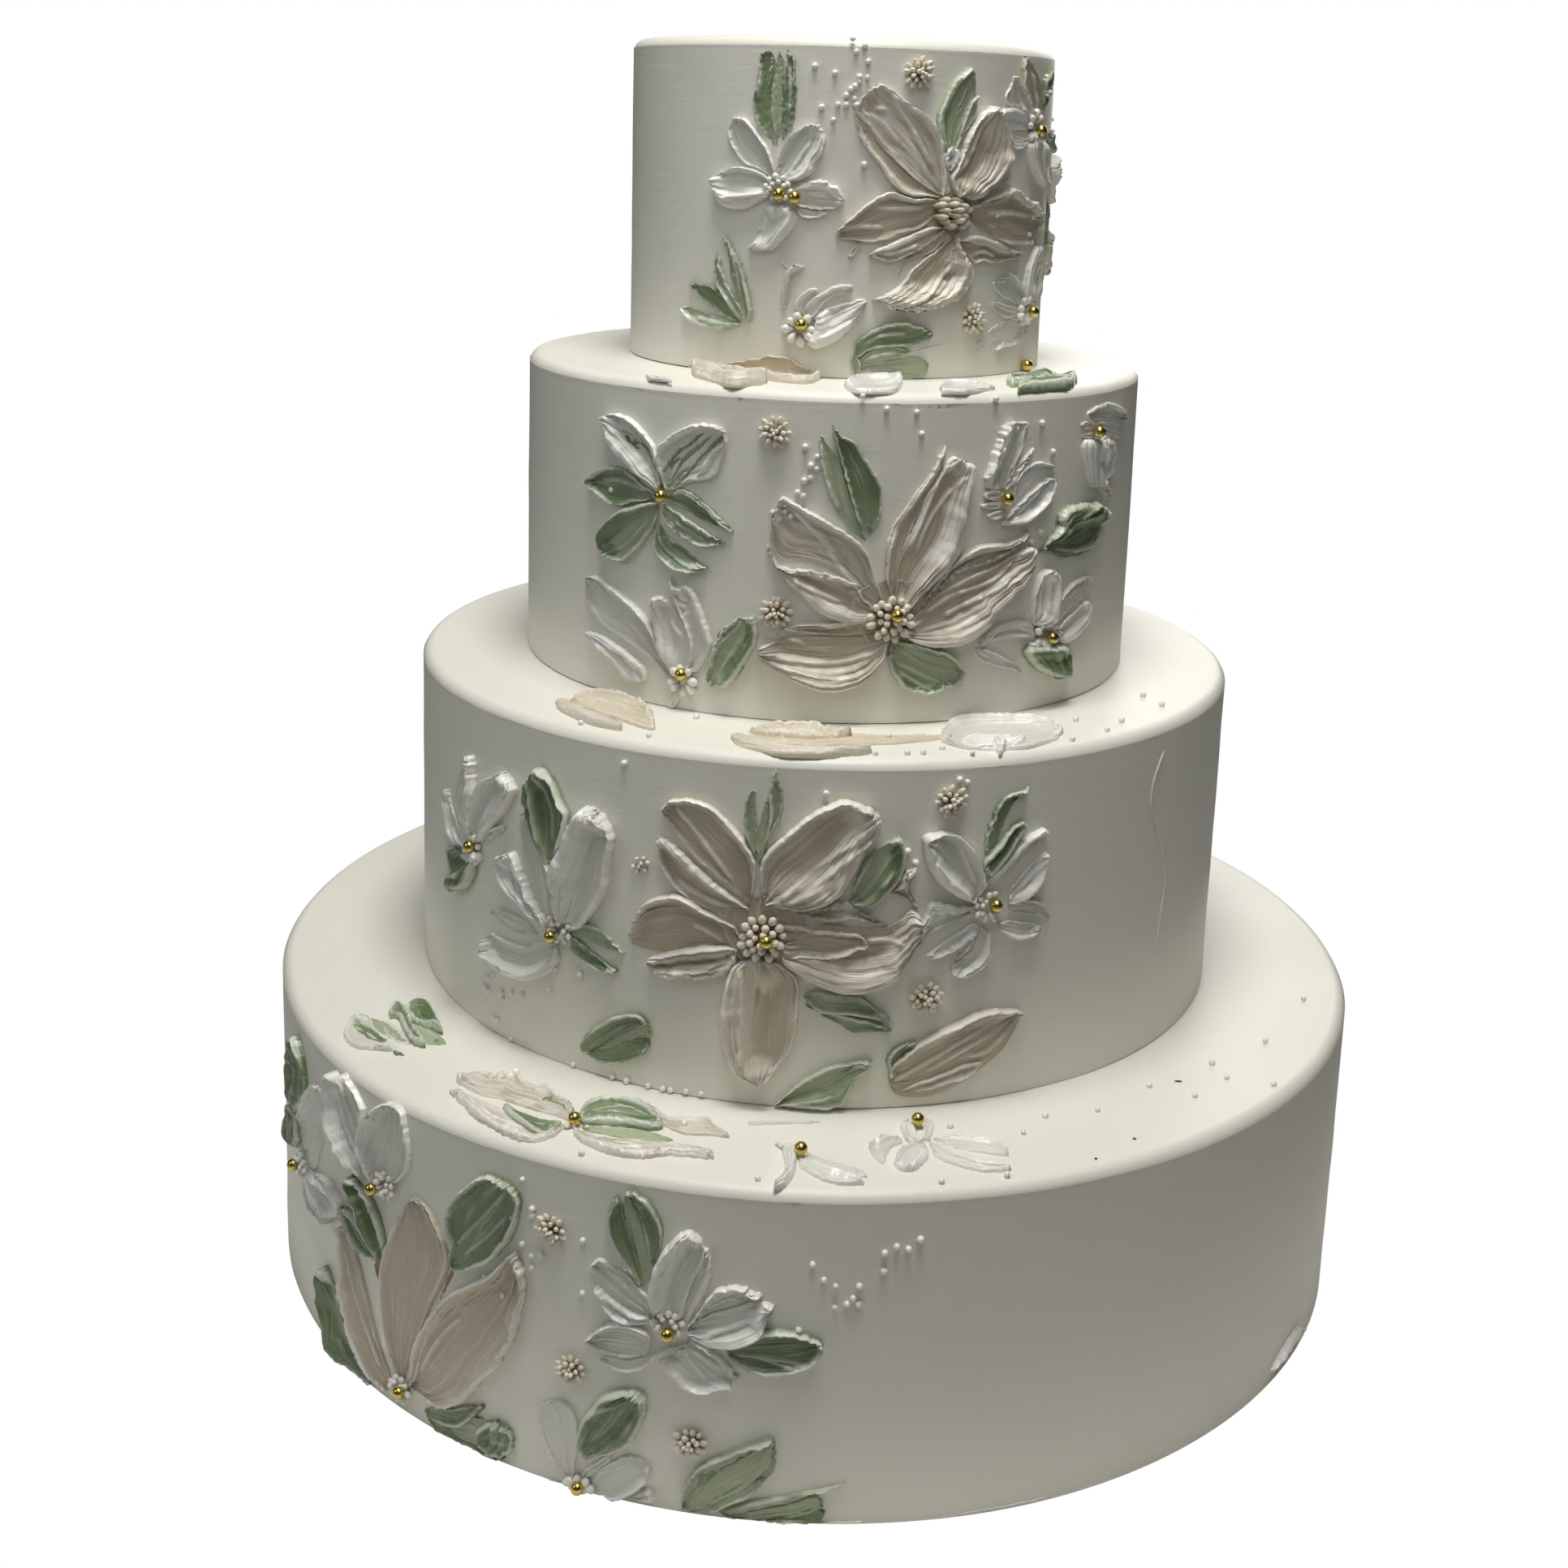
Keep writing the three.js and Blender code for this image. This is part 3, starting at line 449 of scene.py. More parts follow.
         1634), beads=[(822, 1645)], strokes="""
sage edge edge thin [790,1586 780,1550 770,1510 766,1480 | 772,1470 | 785,1495 795,1530 799,1560
 801,1582]
sage bank edge deep [787,1584 771,1560 758,1540 748,1516 747,1495 753,1480 | 761,1473 | 768,1495
 776,1520 786,1550 793,1582]
sage edge bank deep [801,1562 798,1532 790,1506 779,1486 | 772,1466 | 792,1474 806,1490 816,1510
 817,1530 811,1546 804,1562] 780,1478 788,1486 798,1484
sage rim rim deep [895,1663 910,1650 930,1642 952,1639 980,1641 | 1014,1655 | 1011,1671 996,1683
 970,1691 940,1693 915,1686 900,1676] 900,1668 940,1672 996,1682; 925,1668 955,1679 985,1686
edge rim [800,1622 775,1606 750,1587 739,1571 | 729,1557 | 742,1551 756,1563 776,1572 791,1589
 805,1606]
bank bank pale [800,1632 780,1634 760,1626 745,1613 737,1596 | 734,1582 | 750,1597 771,1612
 790,1621 801,1622]
edge rim [801,1667 788,1672 768,1674 745,1668 730,1660 | 721,1651 | 735,1638 750,1631 770,1630
 790,1638 801,1646]
rim edge pale [809,1667 800,1682 785,1690 766,1691 750,1685 | 739,1676 | 752,1672 775,1676
 796,1671]
bank edge [805,1622 799,1594 803,1569 813,1546 828,1528 842,1518 | 857,1517 | 866,1532 868,1552
 857,1576 846,1601 838,1627]
edge bank [839,1630 843,1608 851,1590 859,1568 866,1552 | 874,1545 | 876,1570 870,1591 862,1606
 851,1623 845,1636]
crag edge pale [847,1633 860,1615 869,1600 885,1589 910,1585 | 940,1595 | 920,1604 895,1611
 871,1621 853,1633]
edge bank [846,1641 856,1629 876,1620 906,1612 935,1604 | 955,1610 | 946,1626 943,1641 926,1653
 900,1661 874,1659 853,1648] 868,1645 900,1636 935,1622
edge rim [846,1656 866,1668 886,1680 901,1692 | 904,1708 | 886,1710 860,1715 842,1709 829,1692
 819,1677 811,1671 822,1662] 830,1675 842,1690 853,1701; 845,1671 859,1688 874,1703
crag edge pale [847,1649 861,1655 876,1665 891,1676 | 909,1698 | 894,1691 874,1681 857,1670
 846,1660]
"""),
    dict(name="leaf_sprig_top", tier="top", icing="sage", strokes="""
edge bank [914,393 905,372 900,350 897,325 | 892,290 | 903,302 913,322 919,342 924,362 928,384
 925,397] 900,305 908,335 912,365
bank crag pale [912,397 898,379 886,359 880,343 879,326 | 884,310 | 890,330 898,350 907,370
 917,389]
edge rim deep [910,399 890,389 872,376 858,363 | 848,350 | 865,350 880,354 890,364 900,379 912,395]
bank edge pale [908,403 890,408 870,405 853,398 843,389 | 841,377 | 855,379 875,387 895,392
 912,398] 855,390 880,397 904,401
"""),
    dict(name="white_flower_top_low", tier="top", icing="pearl", heart=("petals", 984, 406),
         beads=[(987, 400)], strokes="""
crag crag [955,315 962,320 | 973,334 | 962,327 956,321]
bank edge [968,381 962,377 962,360 965,345 967,333 | 978,326 | 991,328 981,338 976,352 973,368]
bank edge [986,387 978,378 983,366 993,358 1002,355 | 1009,358 | 1001,370 995,380 992,389]
bank edge [995,391 992,378 1003,366 1018,357 1032,351 | 1051,352 | 1041,361 1026,368 1013,378
 1002,392]
edge bank pale [1001,394 1012,384 1030,376 1048,371 | 1068,368 | 1061,385 1052,400 1041,412
 1026,423 1006,430 994,424 999,414 1003,405] 1003,419 1026,410 1052,394
"""),
    dict(name="leaf_fan_top", tier="top", icing="sage", strokes="""
pearl edge edge thin [1120,434 1145,428 | 1175,420 | 1148,431 1124,437]
edge edge [1058,457 1064,450 1085,446 1110,442 1130,440 | 1144,447 | 1139,465 1110,466 1095,459
 1075,457]
rim rim deep [1052,439 1054,424 1065,412 1080,404 1098,397 | 1122,398 1150,410 | 1143,420 1130,425
 1110,428 1090,429 1070,433 1058,441] 1062,425 1085,414 1120,410
rim edge [1056,449 1062,438 1075,430 1090,425 | 1123,433 | 1110,439 1090,443 1070,446 1060,451]
 1062,446 1080,438 1110,433
bank bank [1052,436 1048,445 1050,456 | 1055,461 | 1061,452 1058,442]
"""),
    dict(name="white_flower_top_right", tier="top", icing="pearl", body=0.6, heart=("petals",
         1278, 156), beads=[(1283, 161)], strokes="""
blush rim edge [1277,150 1268,130 1262,110 1261,90 | 1264,68 | 1277,84 1286,104 1289,125 1287,147]
 1272,86 1277,110 1280,140
sage bank bank deep [1290,158 1299,160 1304,169 1301,180 | 1296,190 | 1290,176 1287,164]
sage bank rim deep [1286,130 1287,112 1289,96 | 1297,84 | 1298,98 1294,115 1291,132]
edge rim [1262,137 1245,132 1240,120 1247,105 | 1253,92 | 1260,104 1268,120 1274,140 1272,151]
rim bank thin [1286,171 1291,190 1289,215 | 1285,233 | 1275,215 1268,195 1267,178 1276,170]
 1279,176 1282,200 1283,220
edge bank deep [1273,161 1255,162 1240,160 1228,155 | 1222,146 | 1235,137 1248,131 1261,136
 1271,151]
bank edge pale [1276,168 1268,179 1257,185 1245,181 1236,173 | 1228,157 | 1240,160 1255,168
 1269,169]
crag crag [1288,120 1287,113 | 1292,110 | 1296,116 1293,122]
"""),
    dict(name="white_flower_top_edge", tier="top", icing="pearl", body=0.55, heart=("petals",
         1266, 384), beads=[(1273, 384)], strokes="""
edge edge thin [1232,418 1215,428 | 1195,439 | 1214,424 1232,411]
edge rim [1259,377 1240,369 1228,359 1225,348 | 1236,341 | 1248,336 1259,348 1265,362 1267,377]
bank bank [1270,373 1262,365 1263,345 1268,325 | 1277,302 | 1283,325 1283,345 1280,362 1277,373]
 1272,360 1276,335 1279,318
edge bank pale [1263,391 1245,393 1232,387 | 1223,373 | 1240,374 1255,379 1265,384]
edge rim pale [1267,397 1250,403 1236,407 1225,419 | 1203,425 | 1218,410 1230,400 1245,394
 1263,391]
bank edge pale [1270,402 1263,416 1250,426 | 1227,432 | 1235,423 1248,417 1259,406]
"""),
    dict(name="peach_strokes_second_ledge", tier="top", icing="peach", strokes="""
torn edge thin [884,455 900,446 925,441 950,437 970,440 986,448 | 1006,461 | 990,466 960,466
 920,466 895,462]
"""),
    dict(name="peach_strokes_second_ledge", on="ledge", tier="second", icing="peach", strokes="""
edge rim thin [884,456 900,448 925,443 950,440 970,443 985,450 1000,457 | 1013,464 | 995,470
 970,469 945,466 920,463 900,459] 905,457 930,463 955,467
edge bank [852,456 856,450 875,452 895,455 920,462 | 946,469 | 925,473 900,473 880,469 862,464
 854,461]
"""),
    dict(name="leaf_second_ledge", on="ledge", tier="second", icing="sage", strokes="""
edge bank [1240,471 1242,463 1255,460 1275,460 1290,463 | 1301,466 | 1280,471 1260,473 1248,475]
rim bank deep [1254,475 1275,468 1300,465 1318,466 | 1327,469 | 1318,474 1295,477 1270,479
 1256,479] 1270,474 1300,471
"""),
    dict(name="second_ledge_smears", on="ledge", tier="second", icing="pearl", loose=True,
         strokes="""
rim edge thin [1040,472 1058,463 1085,460 1104,463 | 1112,470 | 1105,480 1080,482 1055,481
 1042,477]
edge edge thin [1157,476 1167,470 1192,470 | 1225,477 | 1200,483 1170,484 1160,481]
edge edge thin [781,466 795,461 | 817,464 | 803,471 788,473]
"""),
    dict(name="peach_stroke_third_ledge_left", on="ledge", tier="third", icing="peach",
         strokes="""
torn edge thin [702,866 712,857 727,853 760,858 790,866 | 806,888 | 805,897 780,891 755,883 730,875
 712,869] 722,862 745,864 775,872
edge bank [684,864 690,858 710,862 735,872 755,884 | 767,897 | 745,895 725,890 700,879 688,872]
 700,868 725,878 748,890
"""),
    dict(name="peach_stroke_third_ledge_mid", on="ledge", tier="third", icing="peach", strokes="""
edge edge thin [945,907 1000,902 1100,903 | 1172,906 | 1100,914 1000,916 960,914]
torn torn [921,898 940,893 970,892 1000,892 1020,898 | 1046,905 | 1020,908 990,908 960,906 935,903]
 945,899 985,900 1020,903
edge bank [900,907 905,902 930,905 960,910 1000,915 1040,920 | 1074,925 | 1040,929 1000,930 960,928
 930,922 908,915] 920,912 960,918 1010,922
"""),
    dict(name="white_stroke_third_ledge", on="ledge", tier="third", icing="pearl", strokes="""
rim edge thin [1176,917 1159,910 1163,895 1175,887 1190,884 1220,884 1260,885 1290,890 | 1310,901 |
 1297,911 1270,919 1230,922 1195,921]
bank rim [1180,916 1190,910 1230,908 | 1264,912 | 1240,920 1200,921]
crag crag [1222,912 1235,908 | 1241,920 | 1232,926 1224,919]
"""),
    dict(name="leaf_third_foot_left", tier="third", icing="sage", strokes="""
edge edge thin [722,1297 745,1286 770,1272 798,1261 | 801,1279 | 780,1283 750,1292]
bank edge deep [717,1297 713,1288 725,1271 745,1257 765,1250 785,1248 | 800,1261 | 780,1266
 760,1276 740,1289 723,1297]
edge rim deep [722,1298 745,1291 770,1283 798,1279 | 800,1290 | 789,1302 765,1311 745,1311
 730,1305]
"""),
    dict(name="leaf_third_foot_right", tier="third", icing="sage", strokes="""
rim bank thin [954,1371 955,1360 970,1345 985,1334 1000,1324 1020,1315 1040,1310 | 1075,1306 |
 1070,1318 1056,1330 1048,1346 1040,1361 1025,1371 1005,1377 985,1375 968,1373] 992,1371 1010,1371
 1030,1363
edge edge deep [978,1369 1000,1354 1028,1342 | 1054,1329 | 1046,1348 1032,1361 1008,1369]
"""),
    dict(name="blush_stroke_third", tier="third", icing="blush", strokes="""
rim flat [1097,1332 1095,1318 1108,1304 1125,1290 1150,1274 1180,1259 1205,1247 1225,1244 |
 1259,1245 | 1253,1266 1240,1291 1216,1313 1190,1333 1150,1352 1115,1353 1100,1346] 1100,1334
 1130,1316 1170,1292 1212,1268; 1140,1322 1180,1298 1225,1272; 1190,1302 1215,1296 1243,1268
bank bank pale [1108,1345 1130,1334 1160,1323 1190,1311 | 1211,1307 | 1196,1326 1165,1338
 1135,1345]
sage bank edge deep [1098,1326 1092,1308 1099,1295 1114,1286 | 1129,1283 | 1121,1296 1113,1310
 1108,1323]
"""),
    dict(name="striped_strokes_base_ledge", on="ledge", tier="base", icing="sage", strokes="""
pearl rim edge [455,1252 437,1248 427,1262 424,1276 440,1289 | 478,1292 | 492,1291 472,1276
 458,1261]
pearl edge edge [468,1256 482,1258 498,1272 | 506,1284 | 490,1283 476,1272]
edge edge thin [494,1258 512,1260 532,1268 542,1275 | 549,1283 | 530,1284 515,1280 500,1271]
bank edge deep [432,1257 440,1255 455,1265 470,1276 | 481,1283 | 465,1282 448,1274 436,1265]
edge edge [456,1252 466,1254 481,1262 496,1275 | 502,1282 | 489,1280 474,1273 461,1263]
bank edge deep [480,1253 479,1244 486,1237 497,1239 506,1254 513,1270 | 525,1288 | 511,1286
 501,1276 494,1262 488,1253]
bank rim deep [500,1251 501,1240 512,1234 526,1236 537,1250 | 546,1272 | 534,1269 519,1263
 507,1258]
crag crag deep [532,1277 | 549,1283 | 537,1285]
edge crag deep [482,1289 | 499,1297 | 487,1297]
"""),
    dict(name="blush_flower_base_ledge", on="ledge", tier="base", icing="blush", heart=("tiny",
         712, 1382), beads=[(708, 1378)], strokes="""
edge torn thin pale [702,1379 680,1371 650,1363 620,1353 590,1346 | 561,1327 | 590,1324 615,1324
 638,1319 646,1330 665,1335 685,1345 704,1360] 640,1350 670,1362 698,1374
rim edge thin pale [712,1373 720,1358 740,1351 770,1353 800,1360 820,1374 850,1374 870,1377
 885,1388 | 899,1399 | 870,1397 840,1394 815,1384 790,1370 760,1362]
edge crag pale [704,1386 722,1393 750,1400 800,1404 840,1408 870,1413 | 879,1425 | 850,1424
 820,1422 790,1426 760,1422 735,1414 711,1400] 725,1402 760,1411 800,1412
crag edge pale [699,1386 685,1397 665,1405 640,1403 610,1391 585,1375 570,1362 | 554,1344 |
 575,1349 600,1358 630,1370 660,1382 690,1384] 590,1366 620,1381 650,1392
sage bank edge deep [691,1385 681,1397 668,1400 655,1394 640,1384 625,1373 | 619,1365 | 640,1369
 665,1377 691,1382]
sage edge rim deep [700,1371 693,1362 682,1357 | 667,1353 | 686,1349 700,1354 709,1368]
sage edge edge thin [716,1386 740,1385 770,1387 800,1393 | 830,1402 | 800,1404 770,1400 740,1394
 722,1391]
sage rim bank deep [712,1378 720,1362 735,1355 755,1353 775,1356 796,1364 | 817,1387 | 800,1391
 770,1387 740,1385 720,1384] 730,1374 760,1368 795,1378
"""),
    dict(name="white_flower_base_ledge_mid", on="ledge", tier="base", icing="pearl", beads=[(987,
         1415)], strokes="""
edge edge thin [994,1417 1010,1424 1035,1430 1060,1438 | 1068,1447 | 1050,1447 1020,1438 995,1428]
bank rim [985,1426 1000,1430 1020,1438 1040,1443 | 1066,1456 | 1040,1458 1015,1452 998,1444
 984,1435]
bank bank [982,1413 982,1430 979,1446 969,1459 | 953,1466 | 958,1455 966,1440 966,1425 962,1414
 954,1407 968,1407]
"""),
    dict(name="white_flower_base_ledge_right", on="ledge", tier="base", icing="pearl",
         beads=[(1131, 1379)], strokes="""
rim edge [1106,1398 1086,1402 | 1072,1409 | 1077,1422 1088,1431 1093,1420 1101,1410 1113,1405]
rim edge [1150,1401 1175,1398 1205,1400 1229,1405 | 1244,1421 | 1220,1419 1190,1414 1165,1409]
bank rim [1145,1406 1165,1412 1190,1422 1215,1430 | 1246,1439 | 1215,1441 1190,1437 1165,1429
 1150,1420]
bank rim [1141,1408 1145,1420 1139,1431 | 1122,1441 | 1107,1439 1101,1430 1110,1415 1126,1408]
bank bank [1122,1380 1114,1378 1110,1388 | 1118,1404 | 1128,1402 1129,1390]
bank bank [1140,1376 1149,1379 1151,1390 | 1146,1403 | 1138,1401 1137,1388]
bank bank [1124,1394 1118,1402 | 1128,1409 | 1139,1403 1137,1394]
"""),
    dict(name="base_ledge_drag", on="ledge", tier="base", icing="pearl", loose=True, strokes="""
edge edge thin [921,1379 960,1377 | 1011,1379 | 960,1382 925,1383]
"""),
    dict(name="leaf_base_foot", tier="base", icing="sage", strokes="""
bank bank [725,1797 712,1783 710,1768 717,1749 725,1737 740,1720 760,1712 | 791,1715 | 798,1735
 791,1756 782,1773 768,1785 750,1793 736,1794] 722,1745 740,1733 766,1728
edge bank deep [728,1794 740,1779 760,1762 | 785,1747 | 784,1766 770,1783 748,1792]
"""),
    dict(name="white_flower_base_foot", tier="base", icing="pearl", body=1.35, heart=("petals",
         712, 1846), beads=[(711, 1842)], strokes="""
edge edge thin [700,1832 688,1812 675,1790 665,1765 661,1742 | 672,1727 | 692,1726 707,1742
 712,1770 708,1805 706,1831]
edge rim thin [722,1838 735,1815 755,1800 780,1795 | 801,1811 | 796,1826 780,1838 760,1847 740,1852
 722,1851]
bank bank [712,1827 719,1812 735,1800 750,1792 | 761,1787 | 752,1801 735,1813 720,1826]
bank edge [700,1846 690,1852 682,1860 | 675,1869 | 685,1867 695,1857 703,1850]
bank edge [708,1850 705,1862 702,1872 | 698,1878 | 696,1868 699,1852]
crag crag [776,1846 790,1838 | 804,1839 | 806,1851 790,1851]
"""),
    dict(name="leaf_base_right", tier="base", icing="sage", strokes="""
rim edge [840,1859 838,1845 845,1825 860,1808 880,1797 905,1787 930,1779 | 953,1775 | 957,1800
 952,1816 940,1829 925,1843 905,1853 885,1861 860,1866]
edge edge deep [844,1842 856,1820 880,1801 910,1790 | 947,1780 | 915,1799 882,1820 857,1846]
edge rim deep [866,1857 890,1842 920,1828 | 944,1818 | 932,1837 911,1850 885,1858]
edge edge thin [900,1867 930,1862 970,1855 1005,1845 | 1014,1857 | 990,1869 960,1873 920,1873]
edge rim deep [886,1866 920,1873 960,1869 1000,1859 | 1015,1863 | 1011,1876 1000,1886 975,1892
 945,1890 915,1884 897,1877]
bank edge pale [884,1865 905,1856 930,1850 960,1846 985,1841 | 1042,1829 | 1012,1840 1000,1843
 975,1853 945,1859 910,1866]
"""),
    dict(name="icing_crack_third", tier="third", icing="ivory", loose=True, body=0.4, strokes="""
edge flat thin [1437,926 1425,960 1421,995 1432,1030 1438,1075 1434,1120 | 1427,1165 | 1437,1120
 1441,1075 1435,1030 1424,995 1428,960 1439,926]
"""),
    dict(name="base_foot_smears", tier="base", icing="pearl", loose=True, strokes="""
bank bank [996,1881 1020,1877 | 1062,1877 | 1062,1885 1020,1886 1000,1886]
edge bank [1155,1879 1190,1866 1230,1858 1265,1851 | 1299,1845 | 1270,1860 1235,1868 1195,1876
 1160,1882]
bank edge [1567,1692 1577,1672 1587,1654 | 1602,1633 | 1603,1644 1594,1663 1581,1681]
"""),
]


# The trail carried on round the far side. A stroke is (across, up, direction, length, width,
# bow, what it is like), from the flower's middle.
PATHS = [
    dict(name="blush_flower_top_back", tier="top", at=(112, 62), icing="blush", heart="buds",
         strokes=[
             (-6, -6, -114, 30, 13, 3, "sage bank rim deep"),
             (7, 9, 34, 30, 11, -2, "sage rim bank deep"),
             (0, 4, -8, 37, 20, 1, "bank rim"),
             (3, 2, 62, 35, 18, -1, "bank rim"),
             (2, -3, 134, 34, 19, 1, "torn torn"),
             (-3, -3, -146, 33, 18, 0, "rim bank"),
             (-4, 1, -78, 31, 18, -1, "rim bank"),
         ]),
    dict(name="white_flower_second_back", tier="second", at=(120, 66), icing="pearl",
         heart="small", strokes=[
             (6, 2, 78, 30, 11, 2, "sage bank rim deep"),
             (-2, 4, -30, 24, 13, 1, "bank rim"),
             (3, 3, 42, 22, 14, 0, "bank rim"),
             (-3, 0, -96, 21, 12, -1, "rim bank"),
             (3, -3, 112, 22, 13, 0, "rim bank"),
             (-1, -4, -160, 22, 12, 1, "bank rim"),
         ]),
    dict(name="white_flower_third_back", tier="third", at=(-118, 52), icing="pearl",
         heart="small", strokes=[
             (-3, -6, -172, 30, 11, -2, "sage rim bank deep"),
             (-6, 6, -28, 27, 10, 2, "sage bank edge"),
             (0, 4, 8, 28, 15, 1, "bank rim"),
             (4, 2, 64, 24, 13, 0, "bank rim"),
             (2, -3, 130, 24, 14, -1, "rim bank"),
             (-3, -3, -128, 24, 13, 0, "rim bank"),
             (-4, 2, -62, 26, 14, 1, "bank rim"),
         ]),
    dict(name="blush_flower_base_back", tier="base", at=(-114, 50), icing="blush",
         heart="buds", strokes=[
             (7, 12, 4, 34, 15, 2, "sage bank rim deep"),
             (-9, -5, -140, 36, 14, -2, "sage rim bank deep"),
             (-2, 4, -30, 45, 22, 1, "bank rim"),
             (3, 4, 38, 45, 22, 0, "bank rim"),
             (3, -2, 104, 41, 20, -1, "torn torn"),
             (-1, -5, 176, 39, 22, 1, "rim bank"),
             (-4, 1, -98, 43, 20, 0, "rim bank"),
         ]),
]


# little bunches of piped stamens: (name, tier, degrees round, mm up)
POMS = [
    ("stamen_bunch_top_a", "top", 19, 101),
    ("stamen_bunch_top_b", "top", 38, 20),
    ("stamen_bunch_second_a", "second", -9, 96),
    ("stamen_bunch_second_b", "second", -8, 37),
    ("stamen_bunch_third_a", "third", 16, 104),
    ("stamen_bunch_third_b", "third", 14, 38),
    ("stamen_bunch_base_a", "base", -22, 88),
    ("stamen_bunch_base_b", "base", -20, 42),
    ("stamen_bunch_base_c", "base", -9, 25),
]

# sugar pearls: (degrees round, mm above the tier's foot)
WALL_PEARLS = {
    "top": [(-7, 102), (-2, 100), (2, 111), (5, 109), (3, 107), (6, 104), (4, 99), (6, 99),
            (4, 97.5), (3, 96), (2, 95), (1, 93), (3, 92), (-1, 90), (1, 90), (3.5, 90),
            (-5, 89), (-2, 85), (6, 71), (49, 66), (45, 55), (63, 54), (69, 50), (61, 48),
            (63, 45), (70, 96), (92, 88), (95, 84), (97, 91), (131, 40), (134, 36), (129, 33)],
    "second": [(-4, 92), (-2, 89), (-3, 86), (-2, 85), (-4, 81), (-3, 82), (-5, 77), (-4, 76),
               (-9, 70), (-7, 73), (-7, 70.5), (-6, 69), (-5, 71), (-8, 68), (5, 109), (9, 105),
               (14, 104), (15, 97), (28, 108), (38, 99), (41, 89), (39, 62), (37, 59), (-40, 71),
               (106, 84), (109, 88), (108, 80), (133, 50), (136, 47)],
    "third": [(-32, 59), (-41, 28), (-38, 30), (-34, 33), (-46, 21), (-47, 19), (-48, 15),
              (-47, 14), (-44, 16), (-44, 14), (-42, 18), (-40, 19), (-35, 25), (-30, 34),
              (-46, 5), (-45, 5), (-42, 1), (-31, 1), (-25, 1), (-23, 1), (-20, 1), (-18, 1),
              (-17, 1), (-15, 1.5), (-13, 1.5), (1, 107), (-24, 110), (11, 88), (12, 84),
              (17, 111), (18, 110), (-104, 72), (-102, 69), (-105, 67), (-130, 36)],
    "base": [(-24, 91), (-25, 80), (-24, 77), (-23, 78), (-24, 73), (-19, 87), (-19, 69),
             (-18, 78), (-15, 81), (-15, 75), (-8, 91), (1, 89), (2, 84), (3, 82), (5, 82),
             (3, 75), (4, 76), (4.5, 78), (5, 76), (0, 67), (-9, 45), (-25, 102), (-27, 98),
             (-24, 93), (-26, 88), (-29, 64), (-27, 60), (-51, 47), (10, 97), (9, 94), (8, 95),
             (7, 93), (7, 87), (-98, 78), (-100, 82), (-97, 84), (-101, 76), (-129, 24)],
}
# and on the ledges: (degrees round, mm from the axis)
LEDGE_PEARLS = {
    "second": [(28, 89), (12, 80), (-4, 82)],
    "third": [(7, 146), (10, 128), (11, 146), (13, 146), (16, 142), (19, 149), (25, 147),
              (41, 131), (34, 147), (41, 145), (46, 141), (60, 131), (57, 141), (-22, 146),
              (-27, 144), (-32, 147), (-20, 120), (-6, 147)],
    "base": [(-20, 200), (-4, 199), (9, 189), (18, 200), (12, 200), (16, 167), (23, 177),
             (-13, 171), (42, 171), (44, 185), (52, 176), (50, 185), (52, 199), (61, 184),
             (74, 190), (33, 174), (27, 170)],
}
STRAY_DROPS = (789, 1066)  # in the frame
LOOSE_BEADS = [("top", 62, 2)]  # tier, degrees round, mm up
# crumbs on the base ledge: (degrees round, mm from the axis, mm long)
DARK_FLECKS = [(45.5, 175, 2.6), (32.5, 194, 1.2), (27, 199, 1.0)]
FLECK_WIDTH = 0.7
FLECK_LIFT = 0.3


# ---------------------------------------------------------------- surfaces
# Icing surfaces are unrolled flat: x runs round a wall and y up it, or x to the right and y to
# the back on a ledge, in mm. Each surface puts points (x, y) lifted off it into the cake's frame.
EYE = np.array([0, -CAMERA_DISTANCE, CAMERA_HEIGHT]) / MM
WALL_MARGIN = 0.5          # how far strokes keep from a wall's foot and crown, in mm
INNER_MARGIN = 0.4         # and on a ledge, from the tier above it and from its outer edge
OUTER_MARGIN = 1.0


def wall_surface(tier):
    def place(x, y, lift):
        angle = x / tier["radius"]
        reach = tier["radius"] + lift
        height = np.maximum(y, tier["foot"])
        return np.stack([reach * np.sin(angle), -reach * np.cos(angle), height], axis=-1) * MM
    return place


def ledge_surface(tier):
    def place(x, y, lift):
        return np.stack([x, y, tier["crown"] + lift], axis=-1) * MM
    return place


def sight_lines(places):
    """Directions from the camera through places in the frame."""
    right, up, forward = (np.array(axis) for axis in camera_axes())
    across = (places[:, 0] - FRAME_WIDTH / 2) / FOCAL
    down = (places[:, 1] - VIEW_MIDDLE) / FOCAL
    return forward + np.multiply.outer(across, right) - np.multiply.outer(down, up)


def seen_on_wall(places, tier, lift=SEEN_LIFT):
    """Where places in the frame lie on a tier's unrolled wall, for icing lifted off it."""
    line = sight_lines(places)
    square = line[:, 0] ** 2 + line[:, 1] ** 2
    half = EYE[1] * line[:, 1]
    rest = EYE[1] ** 2 - (tier["radius"] + lift) ** 2
    reach = (-half - np.sqrt(np.maximum(half ** 2 - square * rest, 0))) / square
    hit = EYE + line * reach[:, None]
    angle = np.arctan2(hit[:, 0], -hit[:, 1])
    height = np.clip(hit[:, 2], tier["foot"] + WALL_MARGIN, tier["crown"] - WALL_MARGIN)
    return np.stack([angle * tier["radius"], height], axis=-1)


def seen_on_ledge(places, tier, lift=SEEN_LIFT):
    """Where places in the frame lie on a tier's flat top, kept between its edge and the tier
    that stands on it."""
    line = sight_lines(places)
    hit = EYE + line * ((tier["crown"] + lift - EYE[2]) / line[:, 2])[:, None]
    reach = np.hypot(hit[:, 0], hit[:, 1])
    kept = np.clip(reach, tier["inner"] + INNER_MARGIN, tier["radius"] - OUTER_MARGIN)
    return hit[:, :2] * (kept / reach)[:, None]


SURFACES = {"wall": (wall_surface, seen_on_wall), "ledge": (ledge_surface, seen_on_ledge)}


